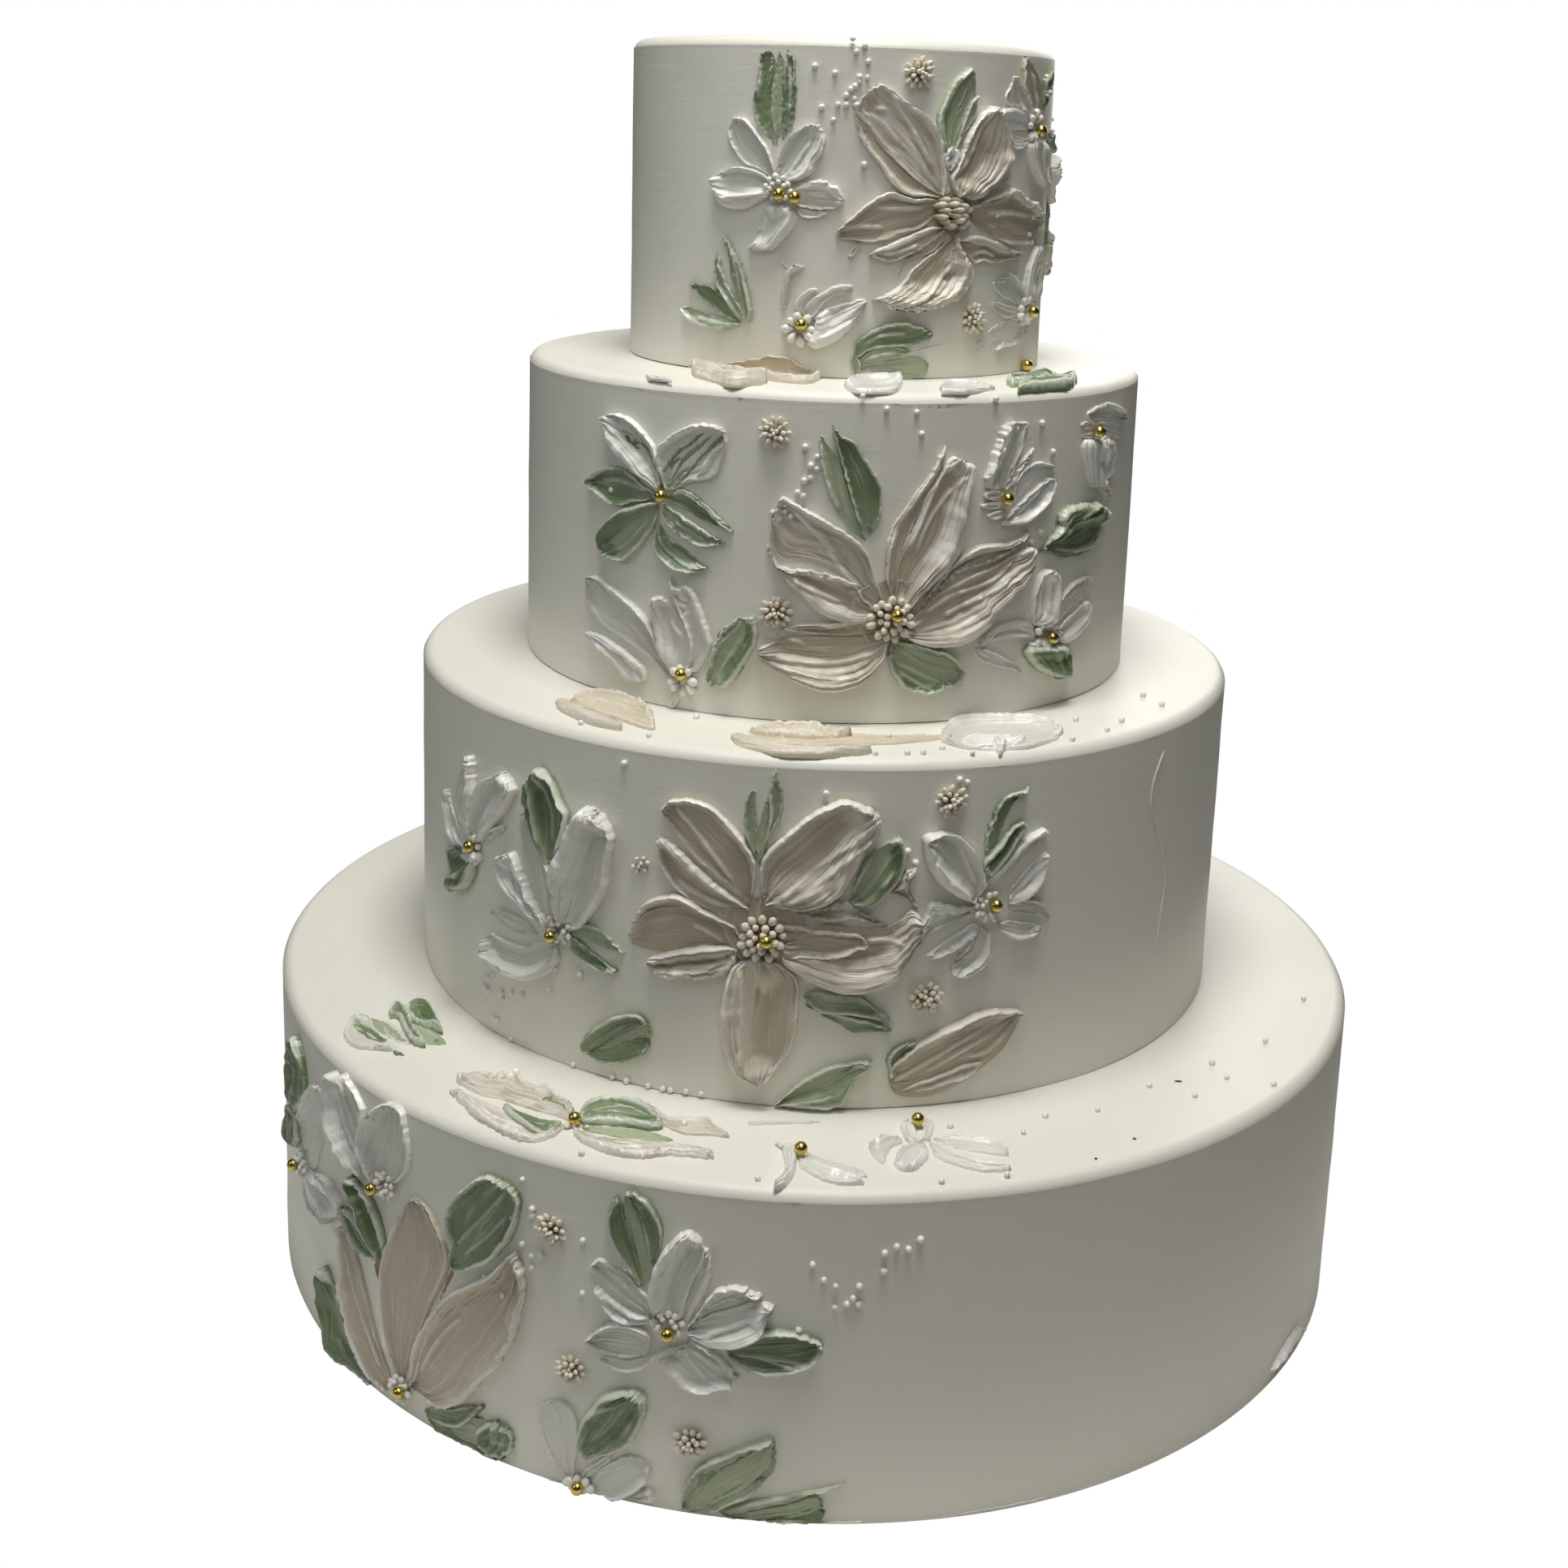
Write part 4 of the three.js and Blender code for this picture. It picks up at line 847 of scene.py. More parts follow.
def round_and_up(tier, degrees, height):
    """A place on an unrolled wall from its angle round from the front and its height."""
    return math.radians(degrees) * tier["radius"], tier["foot"] + height


def spot(surface, x, y, lift=0.0):
    """One place on a surface, with the way out of the icing and the way to the right there."""
    here = surface(np.array([x]), np.array([y]), np.array([lift]))[0]
    out = surface(np.array([x]), np.array([y]), np.array([lift + 1.0]))[0] - here
    right = surface(np.array([x + 1.0]), np.array([y]), np.array([lift]))[0] - here
    return Vector(here), Vector(out).normalized(), Vector(right).normalized()


# ---------------------------------------------------------------- helpers
def deselect():
    if bpy.context.object and bpy.context.object.mode != "OBJECT":
        bpy.ops.object.mode_set(mode="OBJECT")
    bpy.ops.object.select_all(action="DESELECT")


def only(piece):
    deselect()
    piece.select_set(True)
    bpy.context.view_layer.objects.active = piece


def settle(piece):
    """Moves a piece's place, turn and size into its mesh."""
    only(piece)
    bpy.ops.object.transform_apply(location=True, rotation=True, scale=True)


def select_where(piece, kind, test):
    """In edit mode, selects the vertices, edges or faces that pass the test."""
    only(piece)
    bpy.ops.object.mode_set(mode="EDIT")
    bpy.ops.mesh.select_mode(type=kind)
    bpy.ops.mesh.select_all(action="DESELECT")
    bpy.ops.object.mode_set(mode="OBJECT")
    mesh = piece.data
    items = {"VERT": mesh.vertices, "EDGE": mesh.edges, "FACE": mesh.polygons}[kind]
    for item in items:
        item.select = test(mesh, item)
    bpy.ops.object.mode_set(mode="EDIT")


def coordinates(piece):
    flat = np.empty(len(piece.data.vertices) * 3, np.float32)
    piece.data.vertices.foreach_get("co", flat)
    return flat.reshape(-1, 3).astype(float)


def set_coordinates(piece, points):
    piece.data.vertices.foreach_set("co", points.astype(np.float32).ravel())
    piece.data.update()


def join(pieces, name):
    deselect()
    for piece in pieces:
        piece.select_set(True)
    bpy.context.view_layer.objects.active = pieces[0]
    if len(pieces) > 1:
        bpy.ops.object.join()
    pieces[0].name = name
    pieces[0].data.name = name
    return pieces[0]


def copy_of(piece, name="copy"):
    twin = piece.copy()
    twin.data = piece.data.copy()
    twin.name = name
    bpy.context.collection.objects.link(twin)
    return twin


def scattered(template, places, name, material):
    """One joined piece of copies of a template, each with its own placing matrix."""
    made = []
    for matrix in places:
        twin = copy_of(template)
        twin.data.transform(matrix)
        made.append(twin)
    whole = join(made, name)
    whole.data.materials.clear()
    whole.data.materials.append(material)
    only(whole)
    bpy.ops.object.shade_smooth()
    return whole


def smooth(x):
    x = np.clip(x, 0, 1)
    return x * x * (3 - 2 * x)


NOISE_CELLS = 64


def noise(x, y, seed):
    """Smooth noise from -1 to 1, whose bumps are about one unit of x and y across."""
    lattice = np.random.default_rng(seed).uniform(-1, 1, (NOISE_CELLS, NOISE_CELLS))
    x, y = np.broadcast_arrays(np.asarray(x, float), np.asarray(y, float))
    left, low = np.floor(x).astype(int), np.floor(y).astype(int)
    right_share, high_share = smooth(x - left), smooth(y - low)

    def at(i, j):
        return lattice[(left + i) % NOISE_CELLS, (low + j) % NOISE_CELLS]
    near = at(0, 0) * (1 - right_share) + at(1, 0) * right_share
    far = at(0, 1) * (1 - right_share) + at(1, 1) * right_share
    return near * (1 - high_share) + far * high_share


# ---------------------------------------------------------------- materials
def new_group(name, inputs, outputs):
    """A shader node group; inputs are (name, default) and outputs names of values."""
    group = bpy.data.node_groups.new(name, "ShaderNodeTree")
    for label, default in inputs:
        socket = group.interface.new_socket(label, in_out="INPUT", socket_type="NodeSocketFloat")
        socket.default_value = default
    for label in outputs:
        group.interface.new_socket(label, in_out="OUTPUT", socket_type="NodeSocketFloat")
    return group, group.nodes.new("NodeGroupInput"), group.nodes.new("NodeGroupOutput")


def add(tree, kind, values=(), **settings):
    """A new node, with its settings, and with (socket, value) pairs set on it."""
    node = tree.nodes.new("ShaderNode" + kind)
    for key, value in settings.items():
        setattr(node, key, value)
    for socket, value in values:
        node.inputs[socket].default_value = value
    return node


def math_node(tree, operation, first, second=None, clamp=False):
    node = add(tree, "Math", operation=operation, use_clamp=clamp)
    for index, value in enumerate((first, second)):
        if value is None:
            continue
        if isinstance(value, (int, float)):
            node.inputs[index].default_value = value
        else:
            tree.links.new(value, node.inputs[index])
    return node.outputs[0]


def mix_colours(tree, share, first, second):
    node = add(tree, "Mix", data_type="RGBA")
    factor, a, b = (s for s in node.inputs if s.enabled and s.name in ("Factor", "A", "B"))
    for socket, value in ((factor, share), (a, first), (b, second)):
        if isinstance(value, bpy.types.NodeSocket):
            tree.links.new(value, socket)
        else:
            socket.default_value = value
    return next(s for s in node.outputs if s.enabled)


def mottle_group():
    """Soft cloudy unevenness and a fine grain, on Object coordinates."""
    group, into, out = new_group("mottle", [("Cloud Scale", 20), ("Grain Scale", 900)],
                                 ["Cloud", "Grain"])
    place = add(group, "TexCoord").outputs["Object"]
    for label, detail in (("Cloud", 3.0), ("Grain", 2.0)):
        texture = add(group, "TexNoise", [("Detail", detail), ("Roughness", 0.55)])
        group.links.new(place, texture.inputs["Vector"])
        group.links.new(into.outputs[label + " Scale"], texture.inputs["Scale"])
        group.links.new(texture.outputs[0], out.inputs[label])
    return group


def knife_marks_group():
    """Streaks along a stroke, on its own map: how far along it, and how far across."""
    group, into, out = new_group(
        "knife_marks", [("Streak Width", 0.9), ("Streak Length", 24)], ["Streaks", "Hairs"])
    parts = add(group, "SeparateXYZ")
    group.links.new(add(group, "UVMap", uv_map="knife").outputs[0], parts.inputs[0])
    for label, widen in (("Streaks", 1.0), ("Hairs", 0.35)):
        across = math_node(group, "DIVIDE", parts.outputs["Y"], into.outputs["Streak Width"])
        across = math_node(group, "DIVIDE", across, widen)
        along = math_node(group, "DIVIDE", parts.outputs["X"], into.outputs["Streak Length"])
        vector = add(group, "CombineXYZ")
        group.links.new(along, vector.inputs["X"])
        group.links.new(across, vector.inputs["Y"])
        texture = add(group, "TexNoise", [("Scale", 1.0), ("Detail", 3.0), ("Roughness", 0.6)])
        group.links.new(vector.outputs[0], texture.inputs["Vector"])
        group.links.new(texture.outputs[0], out.inputs[label])
    return group


MOTTLE = mottle_group()
KNIFE_MARKS = knife_marks_group()

# colours, each with its alpha
IVORY = (0.88, 0.865, 0.775, 1)
IVORY_SHADE = (0.85, 0.835, 0.74, 1)
# browns of the painted shade in the creases between piped dabs
CREASE_SHADE_DARK = (0.34, 0.25, 0.14, 1)
CREASE_SHADE_LIGHT = (0.50, 0.40, 0.26, 1)
CREAM = (0.87, 0.82, 0.70, 1)
SUGAR = (0.96, 0.955, 0.93, 1)
SUGAR_SHADE = 0.93         # the darker clouds in the sugar, as a share of its colour
CRUMB_DARK = (0.05, 0.05, 0.04, 1)
CRUMB_LIGHT = (0.16, 0.15, 0.12, 1)
GOLD = (0.78, 0.63, 0.20, 1)
GOLD_DEEP = (0.56, 0.44, 0.10, 1)
# browns of the stems, and of the painted shade in the mounds under stamens
STEM_AND_SHADE_DARK = (0.30, 0.17, 0.06, 1)
STEM_AND_SHADE_LIGHT = (0.42, 0.30, 0.16, 1)

# icings spread by knife: the colours of the thin film, partly painted shade in its hollows, of full
# banks and of pale rims, partly painted highlight, how deep the knife's marks are in metres, the
# least and the most roughness, and how glossy the coat is
SPREAD = {
    "pearl": ((0.84, 0.83, 0.745, 1), (0.97, 0.96, 0.89, 1), (1.0, 0.99, 0.94, 1),
              0.0011, (0.22, 0.38), 0.8),
    "blush": ((0.62, 0.535, 0.395, 1), (0.82, 0.75, 0.62, 1), (0.97, 0.94, 0.87, 1),
              0.0012, (0.25, 0.42), 0.5),
    "peach": ((0.70, 0.625, 0.475, 1), (0.73, 0.665, 0.54, 1), (0.84, 0.79, 0.68, 1),
              0.0008, (0.34, 0.5), 0.12),
    "sage": ((0.46, 0.525, 0.345, 1), (0.155, 0.225, 0.10, 1), (0.74, 0.78, 0.66, 1),
             0.0008, (0.22, 0.38), 0.45),
}
STREAKED = 0.35            # how pale the streaks in spread icing are


def new_material(name, roughness, **constants):
    material = bpy.data.materials.new(name)
    material.use_nodes = True
    tree = material.node_tree
    shader = tree.nodes["Principled BSDF"]
    shader.inputs["Roughness"].default_value = roughness
    for label, value in constants.items():
        shader.inputs[label.replace("_", " ")].default_value = value
    return material, tree, shader


def group_node(tree, group, **values):
    node = tree.nodes.new("ShaderNodeGroup")
    node.node_tree = group
    for label, value in values.items():
        node.inputs[label.replace("_", " ")].default_value = value
    return node


def add_bump(tree, shader, height, distance, strength, under=None):
    bump = add(tree, "Bump", [("Strength", strength), ("Distance", distance)])
    tree.links.new(height, bump.inputs["Height"])
    if under:
        tree.links.new(under, bump.inputs["Normal"])
    tree.links.new(bump.outputs[0], shader.inputs["Normal"])
    return bump.outputs[0]


def varied_roughness(tree, shader, mask, low, high):
    spread = add(tree, "MapRange", [("To Min", low), ("To Max", high)])
    tree.links.new(mask, spread.inputs["Value"])
    tree.links.new(spread.outputs[0], shader.inputs["Roughness"])


def mottled(tree, shader, clouds, grain, first, second):
    """Colours a shader in soft clouds of two colours; gives the node of its clouds and grain."""
    mottle = group_node(tree, MOTTLE, Cloud_Scale=clouds, Grain_Scale=grain)
    tree.links.new(mix_colours(tree, mottle.outputs["Cloud"], first, second),
                   shader.inputs["Base Color"])
    return mottle


def ivory_icing():
    """Smooth scraped buttercream: faint clouds, fine grain and the scraper's level marks."""
    material, tree, shader = new_material(
        "ivory_icing", 0.42, Subsurface_Weight=0.12, Subsurface_Scale=0.004,
        Subsurface_Radius=(1.0, 0.85, 0.6), Specular_IOR_Level=0.42)
    mottle = mottled(tree, shader, 16.0, 700.0, IVORY, IVORY_SHADE)
    varied_roughness(tree, shader, mottle.outputs["Cloud"], 0.36, 0.5)
    place = add(tree, "TexCoord").outputs["Object"]
    level = add(tree, "Mapping", [("Scale", (12, 12, 420))])
    tree.links.new(place, level.inputs["Vector"])
    scrapes = add(tree, "TexNoise", [("Scale", 1.0), ("Detail", 4.0), ("Roughness", 0.6)])
    tree.links.new(level.outputs[0], scrapes.inputs["Vector"])
    marked = add_bump(tree, shader, scrapes.outputs[0], 0.00016, 0.55)
    add_bump(tree, shader, mottle.outputs["Grain"], 0.00012, 0.35, marked)
    return material


def spread_icing(name, film, bank, pale, marks, roughness, coat):
    """Icing spread by knife: its colour goes from the thin film to the full banks, darker in the
    hollows as painted shade, and towards its pale colour on rims and crests as painted highlight.
    """
    material, tree, shader = new_material(
        name, roughness[0], Subsurface_Weight=0.03, Subsurface_Scale=0.0025,
        Subsurface_Radius=(1.0, 0.8, 0.6), Specular_IOR_Level=0.5, Coat_Weight=coat,
        Coat_Roughness=0.32)
    streaks = group_node(tree, KNIFE_MARKS, Streak_Width=0.8, Streak_Length=16.0)
    mottle = group_node(tree, MOTTLE, Cloud_Scale=60.0, Grain_Scale=1500.0)
    thick_and_shade = add(tree, "Attribute", attribute_name="thick_and_shade").outputs["Fac"]
    # paleness: partly painted highlight on rims, crests and ridges
    light = add(tree, "Attribute", attribute_name="pale").outputs["Fac"]
    uneven = math_node(tree, "MULTIPLY_ADD", mottle.outputs["Cloud"], 0.5)
    uneven.node.inputs[2].default_value = -0.25
    share = math_node(tree, "ADD", thick_and_shade, uneven, clamp=True)
    colour = mix_colours(tree, share, film, bank)
    hair = add(tree, "MapRange", [("From Min", 0.56), ("From Max", 0.72), ("To Max", STREAKED)])
    tree.links.new(streaks.outputs["Streaks"], hair.inputs["Value"])
    lighter = math_node(tree, "MAXIMUM", light, hair.outputs[0], clamp=True)
    tree.links.new(mix_colours(tree, lighter, colour, pale), shader.inputs["Base Color"])
    varied_roughness(tree, shader, streaks.outputs["Hairs"], *roughness)
    marked = add_bump(tree, shader, streaks.outputs["Streaks"], marks, 0.6)
    marked = add_bump(tree, shader, streaks.outputs["Hairs"], marks * 0.4, 0.5, marked)
    add_bump(tree, shader, mottle.outputs["Grain"], 0.0001, 0.3, marked)
    return material


def stamen_icing():
    """Piped cream dabs, with brown painted shade in the creases between them, at each dab's inner
    end.
    """
    material, tree, shader = new_material(
        "stamen_icing", 0.5, Subsurface_Weight=0.08, Subsurface_Scale=0.002,
        Specular_IOR_Level=0.4)
    mottle = group_node(tree, MOTTLE, Cloud_Scale=260.0, Grain_Scale=1800.0)
    thick_and_shade = add(tree, "Attribute", attribute_name="thick_and_shade").outputs["Fac"]
    crease_shade = mix_colours(tree, mottle.outputs["Cloud"], CREASE_SHADE_DARK, CREASE_SHADE_LIGHT)
    tree.links.new(mix_colours(tree, thick_and_shade, crease_shade, CREAM), shader.inputs["Base Color"])
    add_bump(tree, shader, mottle.outputs["Grain"], 0.0002, 0.5)
    return material


def sugar_pearl():
    """Hard white sugar with a thin shine."""
    material, tree, shader = new_material("sugar_pearl", 0.3, Coat_Weight=0.5,
                                          Coat_Roughness=0.25)
    darker = tuple(SUGAR_SHADE * part for part in SUGAR[:3]) + (1,)
    mottle = mottled(tree, shader, 400.0, 2500.0, SUGAR, darker)
    add_bump(tree, shader, mottle.outputs["Grain"], 0.00005, 0.4)
    return material


def dark_crumb():
    """Dark crumbs that fell on the icing."""
    material, tree, shader = new_material("dark_fleck", 0.6)
    mottled(tree, shader, 900.0, 2500.0, CRUMB_DARK, CRUMB_LIGHT)
    return material


def gold_bead():
    """Satin gold sugar balls, a little uneven in tone."""
    material, tree, shader = new_material("gold_bead", 0.24, Metallic=1.0)
    mottle = mottled(tree, shader, 350.0, 3000.0, GOLD, GOLD_DEEP)
    varied_roughness(tree, shader, mottle.outputs["Cloud"], 0.16, 0.36)
    add_bump(tree, shader, mottle.outputs["Grain"], 0.00003, 0.5)
    return material


def caramel_stem_and_shade():
    """Brown stems, like thinly dragged caramel icing; also the brown painted shade of the mounds
    under stamens.
    """
    material, tree, shader = new_material("stem", 0.45)
    mottled(tree, shader, 300.0, 1500.0, STEM_AND_SHADE_DARK, STEM_AND_SHADE_LIGHT)
    return material


MATERIALS = {"stem": caramel_stem_and_shade(), "ivory": ivory_icing()}
for icing, look in SPREAD.items():
    MATERIALS[icing] = spread_icing(icing + "_icing", *look)
MATERIALS.update(stamen=stamen_icing(), gold=gold_bead(), sugar=sugar_pearl(),
                 fleck=dark_crumb())
SLOTS = {icing: icing + "_icing" for icing in ("ivory", *SPREAD, "stamen")}
SLOTS["stem"] = "stamen_icing"


def register(piece, icing, *nodes):
    """Puts a piece on the body root and hides the plain solids that it stands for; icing is not
    used.
    """
    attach(piece, "root")
    if nodes:
        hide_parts(*nodes)


# ---------------------------------------------------------------- tiers
WALL_SIDES = 224
WALL_RINGS = 34
CROWN_RINGS = 12
EDGE_STEPS = 8             # faces across the rounded top edge
SHARP_TURN = 50            # degrees; the mesh is smooth over anything less
WAVE = 0.35                # how far the scraped wall strays from true, in mm
LONG_WAVE_UP, SHORT_WAVE_UP = 55, 14
CROWN_WAVE = 0.18          # the same on the flat top, and how far apart its bumps are
CROWN_WAVE_ACROSS = 32


def on_top_rim(mesh, edge, height):
    ends = [mesh.vertices[i].co for i in edge.vertices]
    return all(abs(p.z - height) < 1e-5 for p in ends)


def is_upright(mesh, edge):
    a, b = (mesh.vertices[i].co for i in edge.vertices)
    return abs(a.z - b.z) > 0.02


def wavy(piece, tier):
    """Lets the scraped icing wander a little, as hand work does."""
    points = coordinates(piece) / MM
    angle = np.arctan2(points[:, 0], -points[:, 1])
    reach = np.hypot(points[:, 0], points[:, 1])
    turn = angle / (2 * math.pi) * NOISE_CELLS
    long_waves = noise(turn / 4, points[:, 2] / LONG_WAVE_UP, 11)
    short_waves = noise(turn, points[:, 2] / SHORT_WAVE_UP, 12)
    outer = smooth((reach / tier["radius"] - 0.5) / 0.4)
    stray = WAVE * (0.75 * long_waves + 0.25 * short_waves) * outer
    scale = 1 + stray / np.maximum(reach, 1)
    points[:, 0] *= scale
    points[:, 1] *= scale
    top = smooth((points[:, 2] - tier["crown"] + 1.5) / 1.5)
    points[:, 2] += CROWN_WAVE * top * noise(points[:, 0] / CROWN_WAVE_ACROSS,
                                             points[:, 1] / CROWN_WAVE_ACROSS, 13)
    set_coordinates(piece, points * MM)


def build_tier(name):
    tier = TIERS[name]
    height = (tier["crown"] - tier["foot"]) * MM
    middle = (tier["crown"] + tier["foot"]) / 2 * MM
    deselect()
    bpy.ops.mesh.primitive_cylinder_add(
        vertices=WALL_SIDES, radius=tier["radius"] * MM, depth=height, location=(0, 0, middle))
    piece = bpy.context.object
    piece.name = "icing_" + name
    settle(piece)
    crown = tier["crown"] * MM
    select_where(piece, "EDGE", is_upright)
    bpy.ops.mesh.subdivide_edgering(number_cuts=WALL_RINGS, interpolation="LINEAR")
    select_where(piece, "EDGE", lambda mesh, edge: on_top_rim(mesh, edge, crown))
    bpy.ops.mesh.bevel(offset=EDGE_ROUND * MM, segments=EDGE_STEPS, profile=0.5, affect="EDGES")
    select_where(piece, "FACE", lambda mesh, face: len(face.vertices) == WALL_SIDES
                 and face.center.z > middle)
    for _ in range(CROWN_RINGS):
        bpy.ops.mesh.inset(thickness=(tier["radius"] - EDGE_ROUND) * MM / (CROWN_RINGS + 1))
    bpy.ops.mesh.poke()
    bpy.ops.object.mode_set(mode="OBJECT")
    wavy(piece, tier)
    piece.data.materials.append(MATERIALS["ivory"])
    only(piece)
    bpy.ops.object.shade_smooth_by_angle(angle=math.radians(SHARP_TURN))
    register(piece, "ivory", "tier_" + name)


for tier_name in TIERS:
    build_tier(tier_name)


# ---------------------------------------------------------------- knife strokes
BLANKS = {}
EDGE_POINTS = 150          # places along each edge of a stroke's outline
RIDGE_POINTS = 16          # and along a ridge
MOST_ALONG = (16, 132)     # fewest and most faces along a stroke, and across it
MOST_ACROSS = (12, 64)
CURVE_STEPS = 12           # places on a curve from one given point to the next
CROWDING = 0.28            # how much a strip's mesh crowds towards its two edges
TIP_CROWDING = 1.15        # and towards its tip; 1 is not at all
MAP_SHIFT = 40.0           # keeps the strokes' knife maps apart, in mm
TIP_CLOSING = 0.35         # how near its edge, in mm, a stroke drops to the icing under it
FILM = 0.2                 # the thinnest icing that the knife leaves, in mm
HAIRLINE = 4.5             # narrower strokes than this, in mm, hardly stand up
STREAK = 0.55              # height of the streaks that the knife drags, in mm
STREAK_STEP = (1.6, 22)    # how far apart they lie and how long they are, in mm
FURROW_STEP = (1.25, 14)   # the same for the furrows between them
PALE_STEP = (1.2, 5)       # and for the paler dashes
RIDGE = 1.05               # height and half width of a drawn ridge, in mm
RIDGE_WIDTH = 0.7
TEAR_STEP = 1.3            # size of the lumps along an edge, in mm
TEAR_REACH = 1.6           # and how far in from it they lie

# what is read from a stroke's text: what it is like [its outline] its ridges
STROKE = re.compile(r"([a-z ]+?) *\[([^\]]*)\]([^a-z]*)")


def blank(along, across):
    """A strip of icing as it leaves the knife: a fine grid, its rim turned down and closed
    underneath. Its mesh runs from -1 to 1 both ways, with the underside at -1."""
    if (along, across) not in BLANKS:
        deselect()
        bpy.ops.mesh.primitive_grid_add(x_subdivisions=across, y_subdivisions=along, size=2)
        piece = bpy.context.object
        piece.data.uv_layers[0].name = "knife"
        bpy.ops.object.mode_set(mode="EDIT")
        bpy.ops.mesh.select_mode(type="EDGE")
        bpy.ops.mesh.select_all(action="DESELECT")
        bpy.ops.mesh.select_non_manifold()
        bpy.ops.mesh.extrude_edges_move(TRANSFORM_OT_translate={"value": (0, 0, -1)})
        bpy.ops.mesh.edge_face_add()
        bpy.ops.mesh.select_all(action="SELECT")
        bpy.ops.mesh.normals_make_consistent(inside=False)
        bpy.ops.object.mode_set(mode="OBJECT")
        bpy.ops.object.shade_smooth()
        BLANKS[along, across] = piece
    return BLANKS[along, across]


def read_places(text):
    """The places in a text of pairs parted by blanks."""
    return np.array([[float(number) for number in place.split(",")] for place in text.split()])


def curve_through(points):
    """A smooth curve through the points."""
    gap = np.maximum(np.linalg.norm(np.diff(points, axis=0), axis=1), 1e-3) ** 0.5
    time = np.concatenate([[0], np.cumsum(gap)])
    slope = np.empty_like(points)
    slope[1:-1] = (points[2:] - points[:-2]) / (time[2:] - time[:-2])[:, None]
    slope[0] = (points[1] - points[0]) / gap[0]
    slope[-1] = (points[-1] - points[-2]) / gap[-1]
    s = (np.arange(CURVE_STEPS) / CURVE_STEPS)[:, None]
    pieces = []
    for k in range(len(points) - 1):
        lead, trail = slope[k] * gap[k], slope[k + 1] * gap[k]
        pieces.append((2 * s ** 3 - 3 * s ** 2 + 1) * points[k] + (s ** 3 - 2 * s ** 2 + s) * lead
                      + (3 * s ** 2 - 2 * s ** 3) * points[k + 1] + (s ** 3 - s ** 2) * trail)
    pieces.append(points[-1:])
    return np.concatenate(pieces)


def lengths_along(curve):
    return np.concatenate([[0], np.cumsum(np.linalg.norm(np.diff(curve, axis=0), axis=1))])


def evenly(curve, count):
    """The same curve as evenly spaced places."""
    run = lengths_along(curve)
    wanted = np.linspace(0, run[-1], count)
    return np.stack([np.interp(wanted, run, curve[:, k]) for k in (0, 1)], axis=-1)


def two_edges(left, tip, right):
    """The left and right edges of an outline, each from the heart to the tip."""
    loop = curve_through(np.concatenate([left, tip, right, left[:1]]))
    middle = int(round((len(left) + (len(tip) - 1) / 2) * CURVE_STEPS))
    return evenly(loop[:middle + 1], EDGE_POINTS), evenly(loop[:middle - 1:-1], EDGE_POINTS)


def ragged(edge, side, outward, seed):
    """An edge with the small nicks and the slow wandering that a knife leaves."""
    run = lengths_along(edge)
    along = np.gradient(edge, axis=0)
    along /= np.maximum(np.linalg.norm(along, axis=1), 1e-6)[:, None]
    across = np.stack([-along[:, 1], along[:, 0]], axis=-1) * outward
    nick = side["nick"] * (0.75 * noise(run / 1.1, 0.5, seed) - 0.25
                           + 0.6 * noise(run / 5.5, 0.5, seed + 1))
    nick *= smooth(run / 4) * (1 + 0.7 * smooth(run / run[-1] * 3 - 2))
    return edge + across * nick[:, None]


def distance_to(points, curve):
    """How far each point is from a curve."""
    start, step = curve[:-1], np.diff(curve, axis=0)
    square = np.maximum((step ** 2).sum(axis=1), 1e-9)
    nearest = np.full(len(points), 1e9)
    for k in range(len(start)):
        offset = points - start[k]
        share = np.clip(offset @ step[k] / square[k], 0, 1)
        gap = offset - share[:, None] * step[k]
        nearest = np.minimum(nearest, (gap ** 2).sum(axis=1))
    return np.sqrt(nearest)


def bank_height(side, gap, scale):
    """The cross-section of one side: a steep outer flank, a crest and a long inner slope."""
    crest = np.maximum(side["crest"] * scale, 0.4)
    reach = np.maximum(side["reach"] * scale, crest + 0.5)
    outer = np.sqrt(np.clip(1 - (1 - gap / crest) ** 2, 0, 1))
    inner = np.clip((gap - crest) / (reach - crest), 0, 1)
    rounded = 0.5 + 0.5 * np.cos(np.pi * inner)
    hollowed = (1 - inner) ** side["curve"]
    inner_slope = rounded if side["curve"] == 1.0 else hollowed
    return np.where(gap < crest, outer, inner_slope)


def dragged(offset, run, step, seed):
    """Noise drawn out along the knife's path; step is its size across and along."""
    return noise(offset / step[0], run / step[1], seed)


def spread_out(grid, left, right):
    """Lays a strip's mesh between two edges: the places of its points, how far along the stroke
    and how far across it they are, and how wide the stroke is there."""
    v = grid[:, 0] * (1 + CROWDING - CROWDING * grid[:, 0] ** 2)
    u = 1 - (1 - (grid[:, 1] + 1) / 2) ** TIP_CROWDING
    station = u * (EDGE_POINTS - 1)
    order = np.arange(EDGE_POINTS)
    place = np.stack([np.interp(station, order, left[:, k]) * (1 - v) / 2
                      + np.interp(station, order, right[:, k]) * (1 + v) / 2
                      for k in (0, 1)], axis=-1)
    return place, u, v, np.interp(station, order, np.linalg.norm(left - right, axis=1))


def ridge_crests(place, run, ridges, seed):
    """How near each point is to the crest of a ridge drawn along the stroke, from 0 to 1."""
    crests = np.zeros(len(place))
    for ridge in ridges:
        gap = distance_to(place, ridge)
        ends = np.minimum(np.linalg.norm(place - ridge[0], axis=1),
                          np.linalg.norm(place - ridge[-1], axis=1))
        broken = 1 + 0.5 * noise(run / 2.2, 0.5, seed)
        crests = np.maximum(crests, np.exp(-(gap / RIDGE_WIDTH) ** 2) * smooth(ends / 3) * broken)
    return crests


